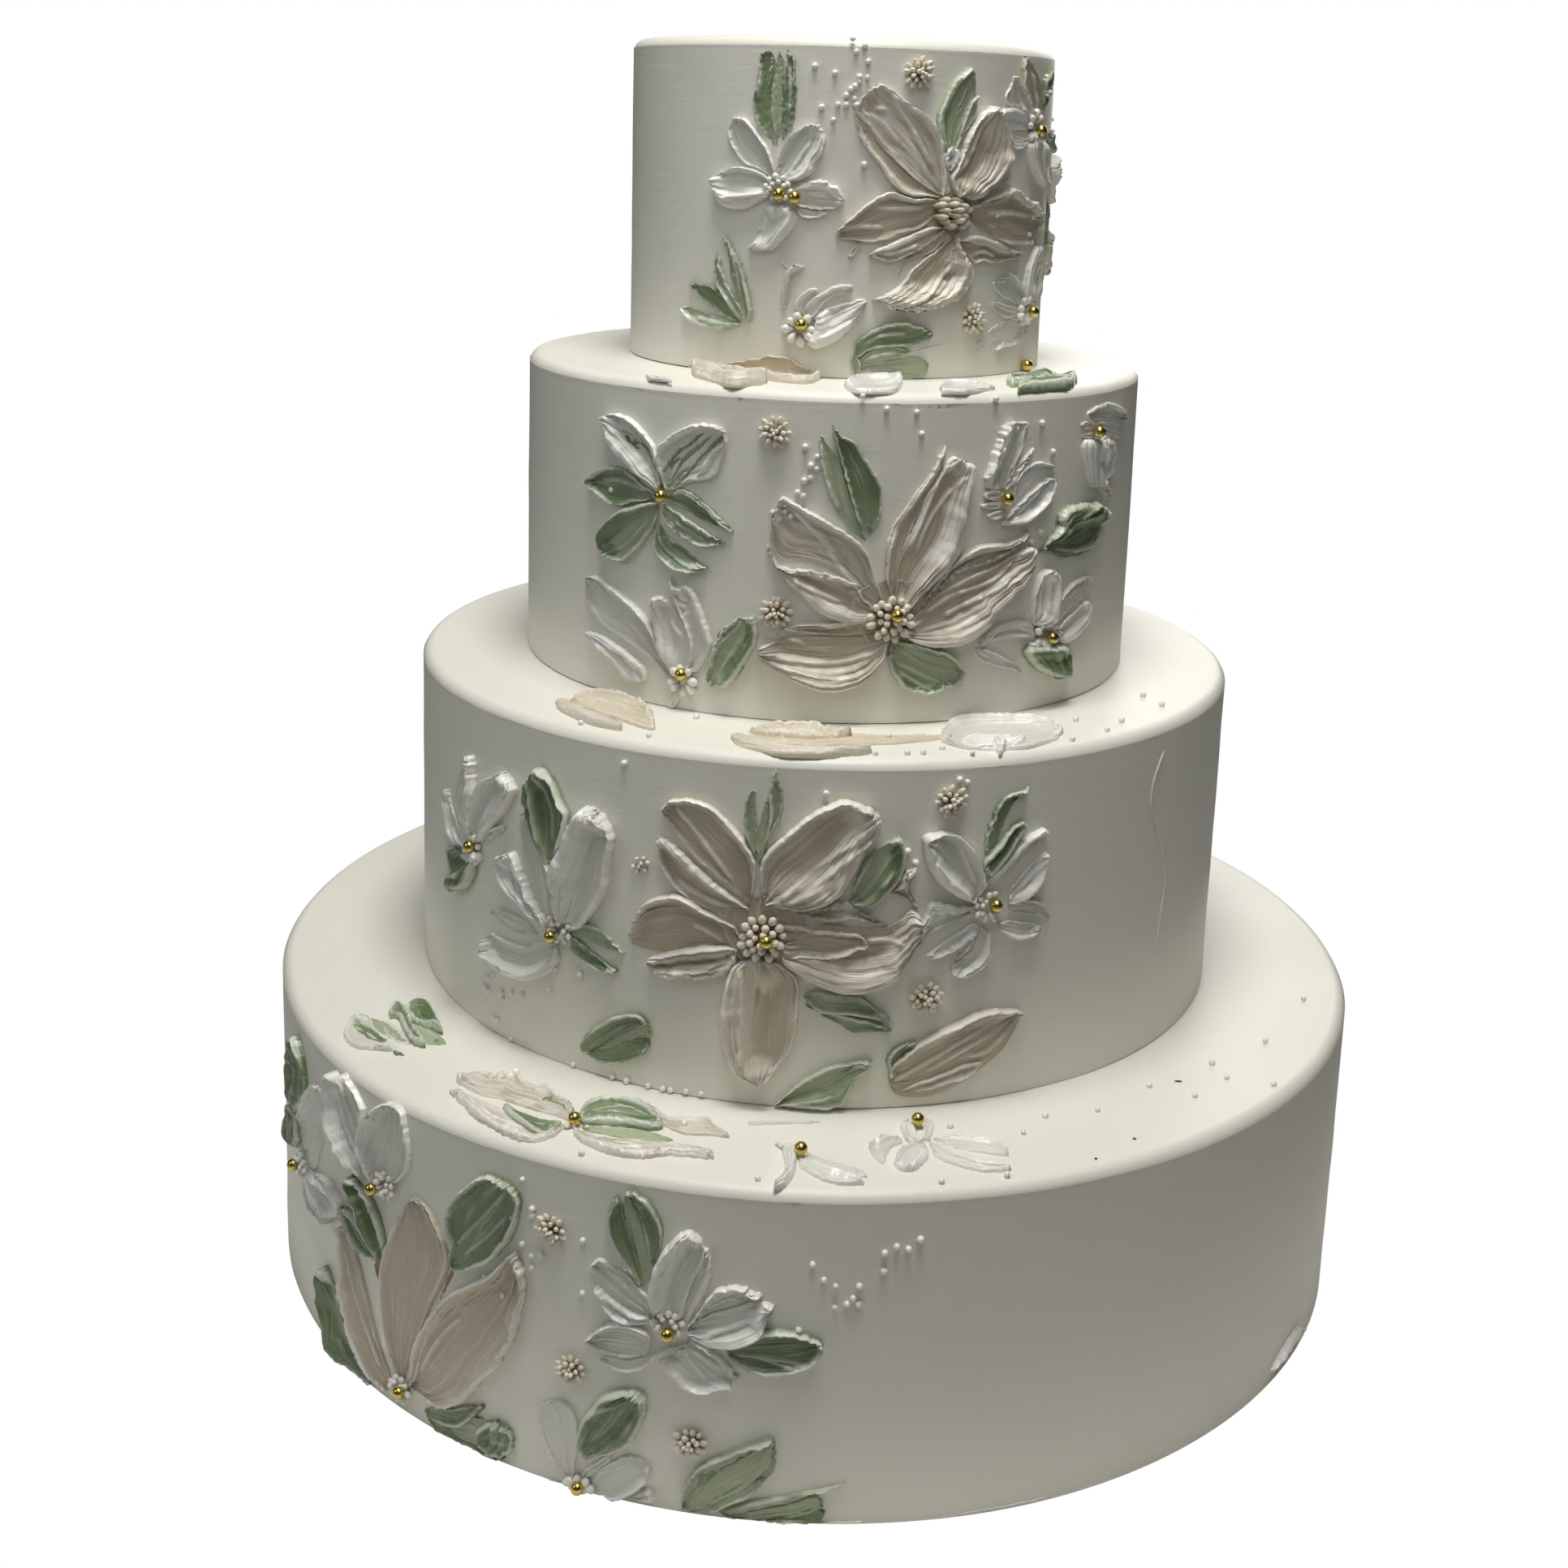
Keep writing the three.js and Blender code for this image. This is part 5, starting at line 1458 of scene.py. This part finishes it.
def knife_stroke(surface, edges, words, ridges, icing, seed, body=1.0):
    """One drag of the knife between two edges: (left, right), each from the heart to the tip."""
    sides = [SIDES[word] for word in words if word in SIDES]
    left = ragged(edges[0], sides[0], 1, seed)
    right = ragged(edges[1], sides[1], -1, seed + 50)
    width = np.linalg.norm(left - right, axis=1).max()
    length = lengths_along((left + right) / 2)[-1]
    longest = max(lengths_along(left)[-1], lengths_along(right)[-1])
    along = int(np.clip(round(longest / GRID_STEP / 4) * 4, *MOST_ALONG))
    across = int(np.clip(round((width / GRID_STEP + 6) / 4) * 4, *MOST_ACROSS))
    piece = copy_of(blank(along, across))
    grid = coordinates(piece)
    under = grid[:, 2] < -0.5
    place, u, v, local = spread_out(grid, left, right)
    run, offset = u * length, v * width / 2
    scale = np.where(u > 0.5, np.maximum(local, 0.8 * width), local)
    swell = 0.45 + 0.55 * smooth(u / 0.4)
    slender = smooth(width / HAIRLINE)
    size = body * np.clip(width * (1.15 - 0.012 * width), 5.0 * slender, 21.0)
    banks, gaps, torn = [], [], 0
    for k, (side, edge) in enumerate(zip(sides, (left, right))):
        gap = distance_to(place, edge)
        varied = 1 + 0.28 * noise(run / 9, k + 0.5, seed + 2) + 0.12 * noise(run / 2.5, k, seed + 3)
        banks.append(side["height"] * size * swell * varied * bank_height(side, gap, scale))
        gaps.append(gap)
        lumps = side["lumps"] * np.exp(-gap / TEAR_REACH)
        torn = torn + lumps * (0.6 - 1.8 * np.abs(noise(*place.T / TEAR_STEP, seed + 4)))
    edge_gap = np.minimum(*gaps)
    bank = (banks[0] ** 3 + banks[1] ** 3) ** (1 / 3)
    closing = np.sqrt(np.clip(1 - (1 - edge_gap / TIP_CLOSING) ** 2, 0, 1))
    closing = np.where(edge_gap > TIP_CLOSING, 1, closing)
    furrows = 0.8 - 2.4 * np.abs(dragged(offset, run, FURROW_STEP, seed + 6))
    streaks = 0.5 * dragged(offset, run, STREAK_STEP, seed + 5) + 0.5 * furrows
    crests = ridge_crests(place, run, ridges, seed + 7)
    height = (FILM + 0.25 * body) * (0.3 + 0.7 * slender) + bank + torn * slender
    height = height + STREAK * slender * streaks * (0.6 + np.minimum(bank, 1.0))
    height = height + RIDGE * crests
    if "low" in words:
        height = 0.45 * height
    height = np.maximum(height, 0.12) * closing - 0.1 * (1 - closing)
    shades = stroke_shades(words, height, bank, edge_gap, streaks, crests, u, run, offset, seed)
    set_coordinates(piece, surface(place[:, 0], place[:, 1], np.where(under, -SINK, height)))
    finish_stroke(piece, icing, run, offset + MAP_SHIFT * (seed % 97), **shades)
    return piece


def stroke_shades(words, height, bank, edge_gap, streaks, crests, u, run, offset, seed):
    """How full the icing looks, darker in the low hollows and towards the heart as painted shade,
    and how much it pales: a painted highlight on crests, rims and drawn ridges, and paler raised
    streaks and dashes.
    """
    # the film's colour in the low hollows: partly the thin icing's own colour, partly painted shade
    thick_and_shade = smooth((height - 0.35) / 1.5)
    if "deep" in words:
        thick_and_shade = 0.8 + 0.2 * thick_and_shade
    if "thin" in words:
        thick_and_shade = 0.45 * thick_and_shade
    # painted shade: nearer the film's colour towards the flower's heart
    thick_and_shade = thick_and_shade * (0.45 + 0.55 * smooth(u / 0.45))
    # painted highlight: paler on the high crests near the edges, the rims, and on drawn ridges
    pale = 0.95 * smooth((height - 0.9) / 0.9) * smooth((1.9 - edge_gap) / 1.0)
    pale = pale + 0.3 * smooth((streaks - 0.35) / 0.3) + 0.6 * crests
    # paler dashes: partly lighter icing, partly painted highlight
    if "pale" in words:
        pale = pale + 0.55 * smooth((dragged(offset, run, PALE_STEP, seed + 8) + 0.5) / 0.6)
    if "streaky" in words:
        pale = pale + 0.85 * smooth((streaks - 0.05) / 0.25) * smooth(bank / 0.8)
    return {"thick_and_shade": thick_and_shade, "pale": np.clip(pale, 0, 1)}


def finish_stroke(piece, icing, run, offset, **shades):
    """Gives a stroke its map along the knife's path, its shades and its icing."""
    mesh = piece.data
    for label, values in shades.items():
        attribute = mesh.attributes.new(label, "FLOAT", "POINT")
        attribute.data.foreach_set("value", values.astype(np.float32))
    corner = np.empty(len(mesh.loops), np.int32)
    mesh.loops.foreach_get("vertex_index", corner)
    chart = np.stack([run, offset], axis=-1)[corner]
    mesh.uv_layers["knife"].data.foreach_set("uv", chart.astype(np.float32).ravel())
    mesh.materials.clear()
    mesh.materials.append(MATERIALS[icing])


def drawn_edges(text, seen, tier):
    left, tip, right = (seen(read_places(part), tier) for part in text.split("|"))
    return two_edges(left, tip, right)


WIDTH_STATIONS = ((0.12, 0.42), (0.35, 0.78), (0.62, 1.0), (0.86, 0.82))


def path_edges(middle, path):
    """The edges of a stroke given by where it starts, its direction, length, width and bow."""
    across, up, direction, length, width, bow = path
    angle = math.radians(direction)
    forward = np.array([math.sin(angle), math.cos(angle)])
    aside = np.array([math.cos(angle), -math.sin(angle)])
    start = np.array(middle) + (across, up)

    def at(share, side):
        bend = bow * math.sin(math.pi * share)
        return start + forward * share * length + aside * (side * width / 2 + bend)
    left = np.array([start] + [at(share, -part) for share, part in WIDTH_STATIONS])
    right = np.array([at(share, part) for share, part in reversed(WIDTH_STATIONS)])
    return two_edges(left, at(1.0, 0)[None], right)


# ---------------------------------------------------------------- piped dabs and beads
def dab_template():
    """A piped dab: a soft drop, fuller at its outer end, lying along its own Z."""
    deselect()
    bpy.ops.mesh.primitive_uv_sphere_add(segments=10, ring_count=8, radius=1)
    piece = bpy.context.object
    points = coordinates(piece)
    fuller = 0.72 + 0.28 * smooth((points[:, 2] + 1) / 1.4)
    points[:, :2] *= fuller[:, None]
    # painted crease shade: the inner end of each dab takes the darker colour, brown for stamens and
    # the film colour for icing dabs
    attribute = piece.data.attributes.new("thick_and_shade", "FLOAT", "POINT")
    attribute.data.foreach_set("value", smooth((points[:, 2] + 0.7) / 1.1).astype(np.float32))
    set_coordinates(piece, points)
    return piece


def ball_template(segments, rings):
    deselect()
    bpy.ops.mesh.primitive_uv_sphere_add(segments=segments, ring_count=rings, radius=0.5)
    return bpy.context.object


DAB = dab_template()
BEAD_BALL = ball_template(24, 16)
PEARL_BALL = ball_template(10, 7)

NO_LIMIT = -1e6
DAB_CLEARANCE = 2.2        # from a tier's foot to the middle of the lowest dabs
BEAD_LIFT = 3.0            # how far out of the icing a bead sits where there is no heart
LEDGE_BODY = 0.8           # strokes on the ledges are pressed flatter than those on the walls

# rings of dabs: (how many, ring radius, dab width, dab length, lean outwards in radians, lift)
POM_RINGS = [(11, 3.7, 1.8, 3.8, 1.25, 1.1), (8, 2.5, 1.7, 3.3, 0.8, 2.2),
             (4, 1.1, 1.6, 2.8, 0.35, 2.9), (1, 0.0, 1.6, 2.8, 0.0, 3.3)]
DROP_RINGS = [(6, 2.4, 1.5, 2.0, 0.5, 0.7), (2, 0.8, 1.5, 2.0, 0.3, 0.9)]
# the hearts of flowers: (rings of dabs, their icing, how far out the gold bead sits)
HEARTS = {
    "buds": ([(13, 5.9, 2.7, 4.2, 1.0, 1.8), (9, 3.9, 2.5, 3.4, 0.6, 3.0),
              (4, 1.9, 2.4, 3.0, 0.2, 3.6)], "stamen", 5.4),
    "small": ([(9, 4.0, 2.1, 3.2, 1.0, 1.4), (6, 2.4, 1.9, 2.8, 0.6, 2.3)], "pearl", 3.6),
    "dots": ([(10, 4.0, 2.2, 2.4, 0.3, 1.5), (6, 2.1, 2.1, 2.3, 0.2, 2.3)], "pearl", 3.9),
    "petals": ([(8, 3.8, 2.9, 4.2, 1.25, 1.2)], "pearl", 2.6),
    "tiny": ([(5, 3.2, 1.4, 2.4, 1.2, 0.9)], "stamen", 2.6),
    "none": ([], "pearl", 2.9),
}
# a heap of long grains: how many rows and columns, their spacing, and how far over each other
# row is shifted
GRAIN_ROWS, GRAIN_COLUMNS = 6, 3
GRAIN_APART, GRAIN_UP, GRAIN_SHIFT = 4.2, 1.8, 1.8
HEAP_HALF = 6.6            # how far out the heap's grains go
HEAP_LIFT = 3.0            # how far its middle stands out
HEAP_BEAD_LIFT = 4.0
# the brown mound of painted shade under a flower's heart, and the smear of icing under that, across
SHADE_MOUNDS = {"stack": 10.0, "buds": 12.0}
PADS = {"stack": 16.0, "buds": 27.0}
POM_SHADE_MOUND = 5.0
SHADE_MOUND_DEEP = 4.4
SHADE_MOUND_LIFT = 0.6

# where each kind's random draws start
STROKE_SEED, FAR_STROKE_SEED, SEED_STEP = 1000, 31000, 211
HEART_SEED, FAR_HEART_SEED, POM_SEED, DROP_SEED, PEARL_SEED = 60, 80, 500, 600, 77

bead_places = []
pearl_places = []


def standing(place, axis, width, length):
    """The matrix that puts a dab at a place in metres, standing along an axis."""
    turn = axis.to_track_quat("Z", "Y").to_matrix().to_4x4()
    size = Matrix.Diagonal((width / 2 * MM, width / 2 * MM, length / 2 * MM, 1))
    return Matrix.Translation(place) @ turn @ size


def dab_places(surface, x, y, rings, chance, low=NO_LIMIT):
    """Rings of dabs around a middle, none of them lower than low."""
    places = []
    for count, radius, width, length, lean, lift in rings:
        start = chance.uniform(0, 2 * math.pi)
        for k in range(count):
            turn = start + (k + chance.uniform(-0.2, 0.2)) * 2 * math.pi / count
            reach = radius * chance.uniform(0.88, 1.12)
            across, up = reach * math.sin(turn), max(reach * math.cos(turn), low - y)
            here, out, right = spot(surface, x + across, y + up,
                                    lift * chance.uniform(0.85, 1.15))
            above = out.cross(right)
            flat = right * math.sin(turn) + above * math.cos(turn)
            axis = (out * math.cos(lean) + flat * math.sin(lean)
                    + right * chance.uniform(-0.18, 0.18)).normalized()
            size = chance.uniform(0.85, 1.15)
            places.append(standing(here, axis, width * size, length * size))
    return places


def stack_of_grains(surface, x, y, chance):
    """Long grains lying level, heaped in rows."""
    places = []
    for row in range(GRAIN_ROWS):
        for column in range(GRAIN_COLUMNS):
            across = ((column - 1) * GRAIN_APART + (row % 2) * GRAIN_SHIFT - GRAIN_SHIFT / 2
                      + chance.uniform(-0.6, 0.6))
            up = (row - 2.5) * GRAIN_UP + chance.uniform(-0.3, 0.3)
            if abs(across) > HEAP_HALF - 0.6 * abs(row - 2.5):
                continue
            lift = HEAP_LIFT - 0.06 * up ** 2 - 0.03 * across ** 2 + chance.uniform(-0.3, 0.3)
            here, out, right = spot(surface, x + across, y + up, lift)
            axis = (right + out * chance.uniform(-0.2, 0.2)
                    + out.cross(right) * chance.uniform(-0.15, 0.15)).normalized()
            places.append(standing(here, axis, chance.uniform(2.1, 2.6), chance.uniform(5.0, 6.6)))
    return places


def add_shade_mound(name, surface, x, y, across):
    """The low brown mound under a bunch of stamens: painted shade in the gaps between its dabs."""
    here, out, _ = spot(surface, x, y, SHADE_MOUND_LIFT)
    shade_mound = scattered(BEAD_BALL, [standing(here, out, across * 2, SHADE_MOUND_DEEP)], name + "_seat",
                     MATERIALS["stem"])
    register(shade_mound, "stem", name)


def build_strokes(name, own_icing, surface, strokes, seed, body=1.0, loose=False):
    """A flower's strokes, joined by icing; strokes are (words, edges, ridges)."""
    by_icing = {}
    for index, (words, edges, ridges) in enumerate(strokes):
        icing = next((word for word in words if word in MATERIALS), own_icing)
        by_icing.setdefault(icing, []).append(
            knife_stroke(surface, edges, words, ridges, icing, seed + 17 * index, body))
    for icing, made in by_icing.items():
        whole = join(made, name + "_" + icing)
        register(whole, icing, *([] if loose else [name]))


def build_heart(name, surface, kind, x, y, seed, low=NO_LIMIT):
    """The piped heart of a flower; gives the height at which its gold bead sits."""
    chance = np.random.default_rng(seed)
    if kind == "stack":
        places, icing = stack_of_grains(surface, x, y, chance), "stamen"
        lift = HEAP_BEAD_LIFT
    else:
        rings, icing, lift = HEARTS[kind]
        places = dab_places(surface, x, y, rings, chance, low)
    if kind in SHADE_MOUNDS:
        add_shade_mound(name, surface, x, y, SHADE_MOUNDS[kind])
    if places:
        register(scattered(DAB, places, name + "_heart", MATERIALS[icing]), icing, name)
    return lift


def add_bead(surface, x, y, lift):
    here, out, _ = spot(surface, x, y, lift)
    bead_places.append(standing(here, out, BEAD * 2, BEAD * 2))


def pad_under(middle, across):
    """The low smear of icing that a flower's heart is set in, as a stroke."""
    return ["edge", "edge", "low"], path_edges(middle, (0, -across / 2, 0, across, across, 0)), []


def drawn_stroke(words, outline, ridges, seen, tier):
    """A stroke's words, edges and ridges from their text."""
    lines = [evenly(curve_through(seen(read_places(part), tier)), RIDGE_POINTS)
             for part in ridges.split(";") if part.strip()]
    return words.split(), drawn_edges(outline, seen, tier), lines


def build_drawn(number, spec):
    """A decoration that shows from the front: its strokes, its heart and its gold beads."""
    name, tier, ledge = spec["name"], TIERS[spec["tier"]], spec.get("on") == "ledge"
    make_surface, seen = SURFACES[spec.get("on", "wall")]
    surface = make_surface(tier)
    strokes = [drawn_stroke(*stroke, seen, tier) for stroke in STROKE.findall(spec["strokes"])]
    if spec.get("heart", ("",))[0] in SHADE_MOUNDS:
        middle = seen(np.array([spec["heart"][1:]], float), tier)[0]
        strokes.insert(0, pad_under(middle, PADS[spec["heart"][0]]))
    build_strokes(name, spec["icing"], surface, strokes, STROKE_SEED + SEED_STEP * number,
                  spec.get("body", 1.0) * (LEDGE_BODY if ledge else 1.0),
                  spec.get("loose", False))
    low = NO_LIMIT if ledge else tier["foot"] + DAB_CLEARANCE
    bead_lift = BEAD_LIFT
    if "heart" in spec:
        kind, *middle = spec["heart"]
        x, y = seen(np.array([middle], float), tier, 2.0)[0]
        bead_lift = build_heart(name, surface, kind, x, y, HEART_SEED + number, low)
    for bead in spec.get("beads", []):
        x, y = seen(np.array([bead], float), tier, bead_lift)[0]
        add_bead(surface, x, max(y, low), bead_lift)


def build_far(number, spec):
    """A flower on the far side."""
    tier = TIERS[spec["tier"]]
    surface = wall_surface(tier)
    middle = round_and_up(tier, *spec["at"])
    strokes = [(path[6].split(), path_edges(middle, path[:6]), []) for path in spec["strokes"]]
    if spec["heart"] in SHADE_MOUNDS:
        strokes.insert(0, pad_under(middle, PADS[spec["heart"]]))
    build_strokes(spec["name"], spec["icing"], surface, strokes,
                  FAR_STROKE_SEED + SEED_STEP * number)
    bead_lift = build_heart(spec["name"], surface, spec["heart"], *middle,
                            FAR_HEART_SEED + number)
    add_bead(surface, *middle, bead_lift)


def build_pom(number, name, tier, degrees, height):
    """A bunch of piped stamens that lies apart from any flower."""
    surface = wall_surface(TIERS[tier])
    chance = np.random.default_rng(POM_SEED + number)
    middle = round_and_up(TIERS[tier], degrees, height)
    pom = scattered(DAB, dab_places(surface, *middle, POM_RINGS, chance), name + "_dabs",
                    MATERIALS["stamen"])
    register(pom, "stamen", name)
    add_shade_mound(name, surface, *middle, POM_SHADE_MOUND)


def build_stray_drops():
    """A few drops left where the piping bag was wiped."""
    tier = TIERS["third"]
    x, y = seen_on_wall(np.array([STRAY_DROPS], float), tier)[0]
    places = dab_places(wall_surface(tier), x, y, DROP_RINGS, np.random.default_rng(DROP_SEED))
    register(scattered(DAB, places, "stray_drops_third", MATERIALS["stamen"]), "stamen")


def on_ledge(degrees, reach):
    """A place on a ledge from its angle round from the front and its distance from the axis."""
    angle = math.radians(degrees)
    return reach * math.sin(angle), -reach * math.cos(angle)


def build_flecks():
    """Dark crumbs lying on the base tier's ledge."""
    places = []
    for degrees, reach, size in DARK_FLECKS:
        here, _, right = spot(ledge_surface(TIERS["base"]), *on_ledge(degrees, reach), FLECK_LIFT)
        places.append(standing(here, right, FLECK_WIDTH * 2, size * 2))
    register(scattered(PEARL_BALL, places, "dark_flecks", MATERIALS["fleck"]), "fleck")


def add_pearl(surface, x, y, chance):
    here, out, _ = spot(surface, x, y, PEARL * 0.32)
    size = PEARL * 2 * chance.uniform(0.85, 1.12)
    pearl_places.append(standing(here, out, size, size))


def build_pearls():
    """All the sugar pearls, pressed a little into the icing."""
    chance = np.random.default_rng(PEARL_SEED)
    for tier, spots in WALL_PEARLS.items():
        for degrees, height in spots:
            add_pearl(wall_surface(TIERS[tier]), *round_and_up(TIERS[tier], degrees, height),
                      chance)
    for tier, spots in LEDGE_PEARLS.items():
        for degrees, reach in spots:
            add_pearl(ledge_surface(TIERS[tier]), *on_ledge(degrees, reach), chance)
    register(scattered(PEARL_BALL, pearl_places, "sugar_pearls", MATERIALS["sugar"]), "sugar")


for number, spec in enumerate(DRAWN):
    build_drawn(number, spec)
for number, spec in enumerate(PATHS):
    build_far(number, spec)
for number, pom in enumerate(POMS):
    build_pom(number, *pom)
build_stray_drops()
for tier, degrees, height in LOOSE_BEADS:
    add_bead(wall_surface(TIERS[tier]), *round_and_up(TIERS[tier], degrees, height), BEAD / 2)
register(scattered(BEAD_BALL, bead_places, "gold_beads", MATERIALS["gold"]), "gold")
build_flecks()
build_pearls()

for template in [DAB, BEAD_BALL, PEARL_BALL, *BLANKS.values()]:
    bpy.data.objects.remove(template)


# ---------------------------------------------------------------- floor and light
FLOOR_HALF = 12.0
FLOOR_DROP = 0.0005        # keeps the floor clear of the cake's underside
FLOOR_TURNS = (0.24, 0.36) # the floor goes from its near to its far colour between these radii
FLOOR_NEAR = (0.85, 0.84, 0.80, 1)
FLOOR_FAR = (0.38, 0.38, 0.37, 1)
SKY = (0.93, 0.96, 1.0, 1)
SKY_STRENGTH = 0.02
WHITE = (1, 1, 1, 1)
LIGHT_AIM = (0, 0, 0.2)
# soft round lamps: (name, place, across, power, colour)
LIGHTS = [
    ("key", (0.0, -0.27, 1.6), 0.55, 15.2, (1.0, 0.985, 0.96)),
    ("front", (0.05, -0.5, 0.8), 0.4, 0.85, (1.0, 0.99, 0.97)),
    ("fill", (-0.9, -0.42, 0.72), 0.5, 1.3, (0.92, 0.97, 1.0)),
    ("back", (0.45, 1.25, 0.75), 0.9, 4.5, (1.0, 0.99, 0.96)),
]


def white_to_camera(tree, shader, output, plain_kind):
    """Shows plain white to the camera, and the shader to all other light."""
    shown = add(tree, plain_kind, [("Color", WHITE), ("Strength", 1.0)])
    path = add(tree, "LightPath")
    choose = add(tree, "MixShader")
    tree.links.new(path.outputs["Is Camera Ray"], choose.inputs[0])
    tree.links.new(shader.outputs[0], choose.inputs[1])
    tree.links.new(shown.outputs[0], choose.inputs[2])
    tree.links.new(choose.outputs[0], tree.nodes[output].inputs["Surface"])


def add_floor():
    deselect()
    bpy.ops.mesh.primitive_plane_add(size=2 * FLOOR_HALF, location=(0, 0, -FLOOR_DROP))
    floor = bpy.context.object
    floor.name = "floor"
    material, tree, shader = new_material("floor", 0.9)
    place = add(tree, "TexCoord").outputs["Object"]
    reach = add(tree, "VectorMath", operation="LENGTH")
    tree.links.new(place, reach.inputs[0])
    near, far = FLOOR_TURNS
    beyond = add(tree, "MapRange", [("From Min", near), ("From Max", far)])
    tree.links.new(reach.outputs["Value"], beyond.inputs["Value"])
    tree.links.new(mix_colours(tree, beyond.outputs[0], FLOOR_NEAR, FLOOR_FAR),
                   shader.inputs["Base Color"])
    white_to_camera(tree, shader, "Material Output", "Emission")
    floor.data.materials.append(material)


def add_area_light(name, place, size, power, colour):
    data = bpy.data.lights.new(name, "AREA")
    data.shape = "DISK"
    data.size = size
    data.energy = power
    data.color = colour
    light = bpy.data.objects.new(name, data)
    light.location = place
    light.rotation_mode = "QUATERNION"
    light.rotation_quaternion = (Vector(LIGHT_AIM) - Vector(place)).to_track_quat("-Z", "Y")
    bpy.context.collection.objects.link(light)


def add_world():
    world = bpy.data.worlds.new("studio")
    bpy.context.scene.world = world
    world.use_nodes = True
    soft = world.node_tree.nodes["Background"]
    soft.inputs["Color"].default_value = SKY
    soft.inputs["Strength"].default_value = SKY_STRENGTH
    white_to_camera(world.node_tree, soft, "World Output", "Background")


add_floor()
add_world()
for lamp in LIGHTS:
    add_area_light(*lamp)
bpy.context.scene.view_settings.view_transform = "Standard"
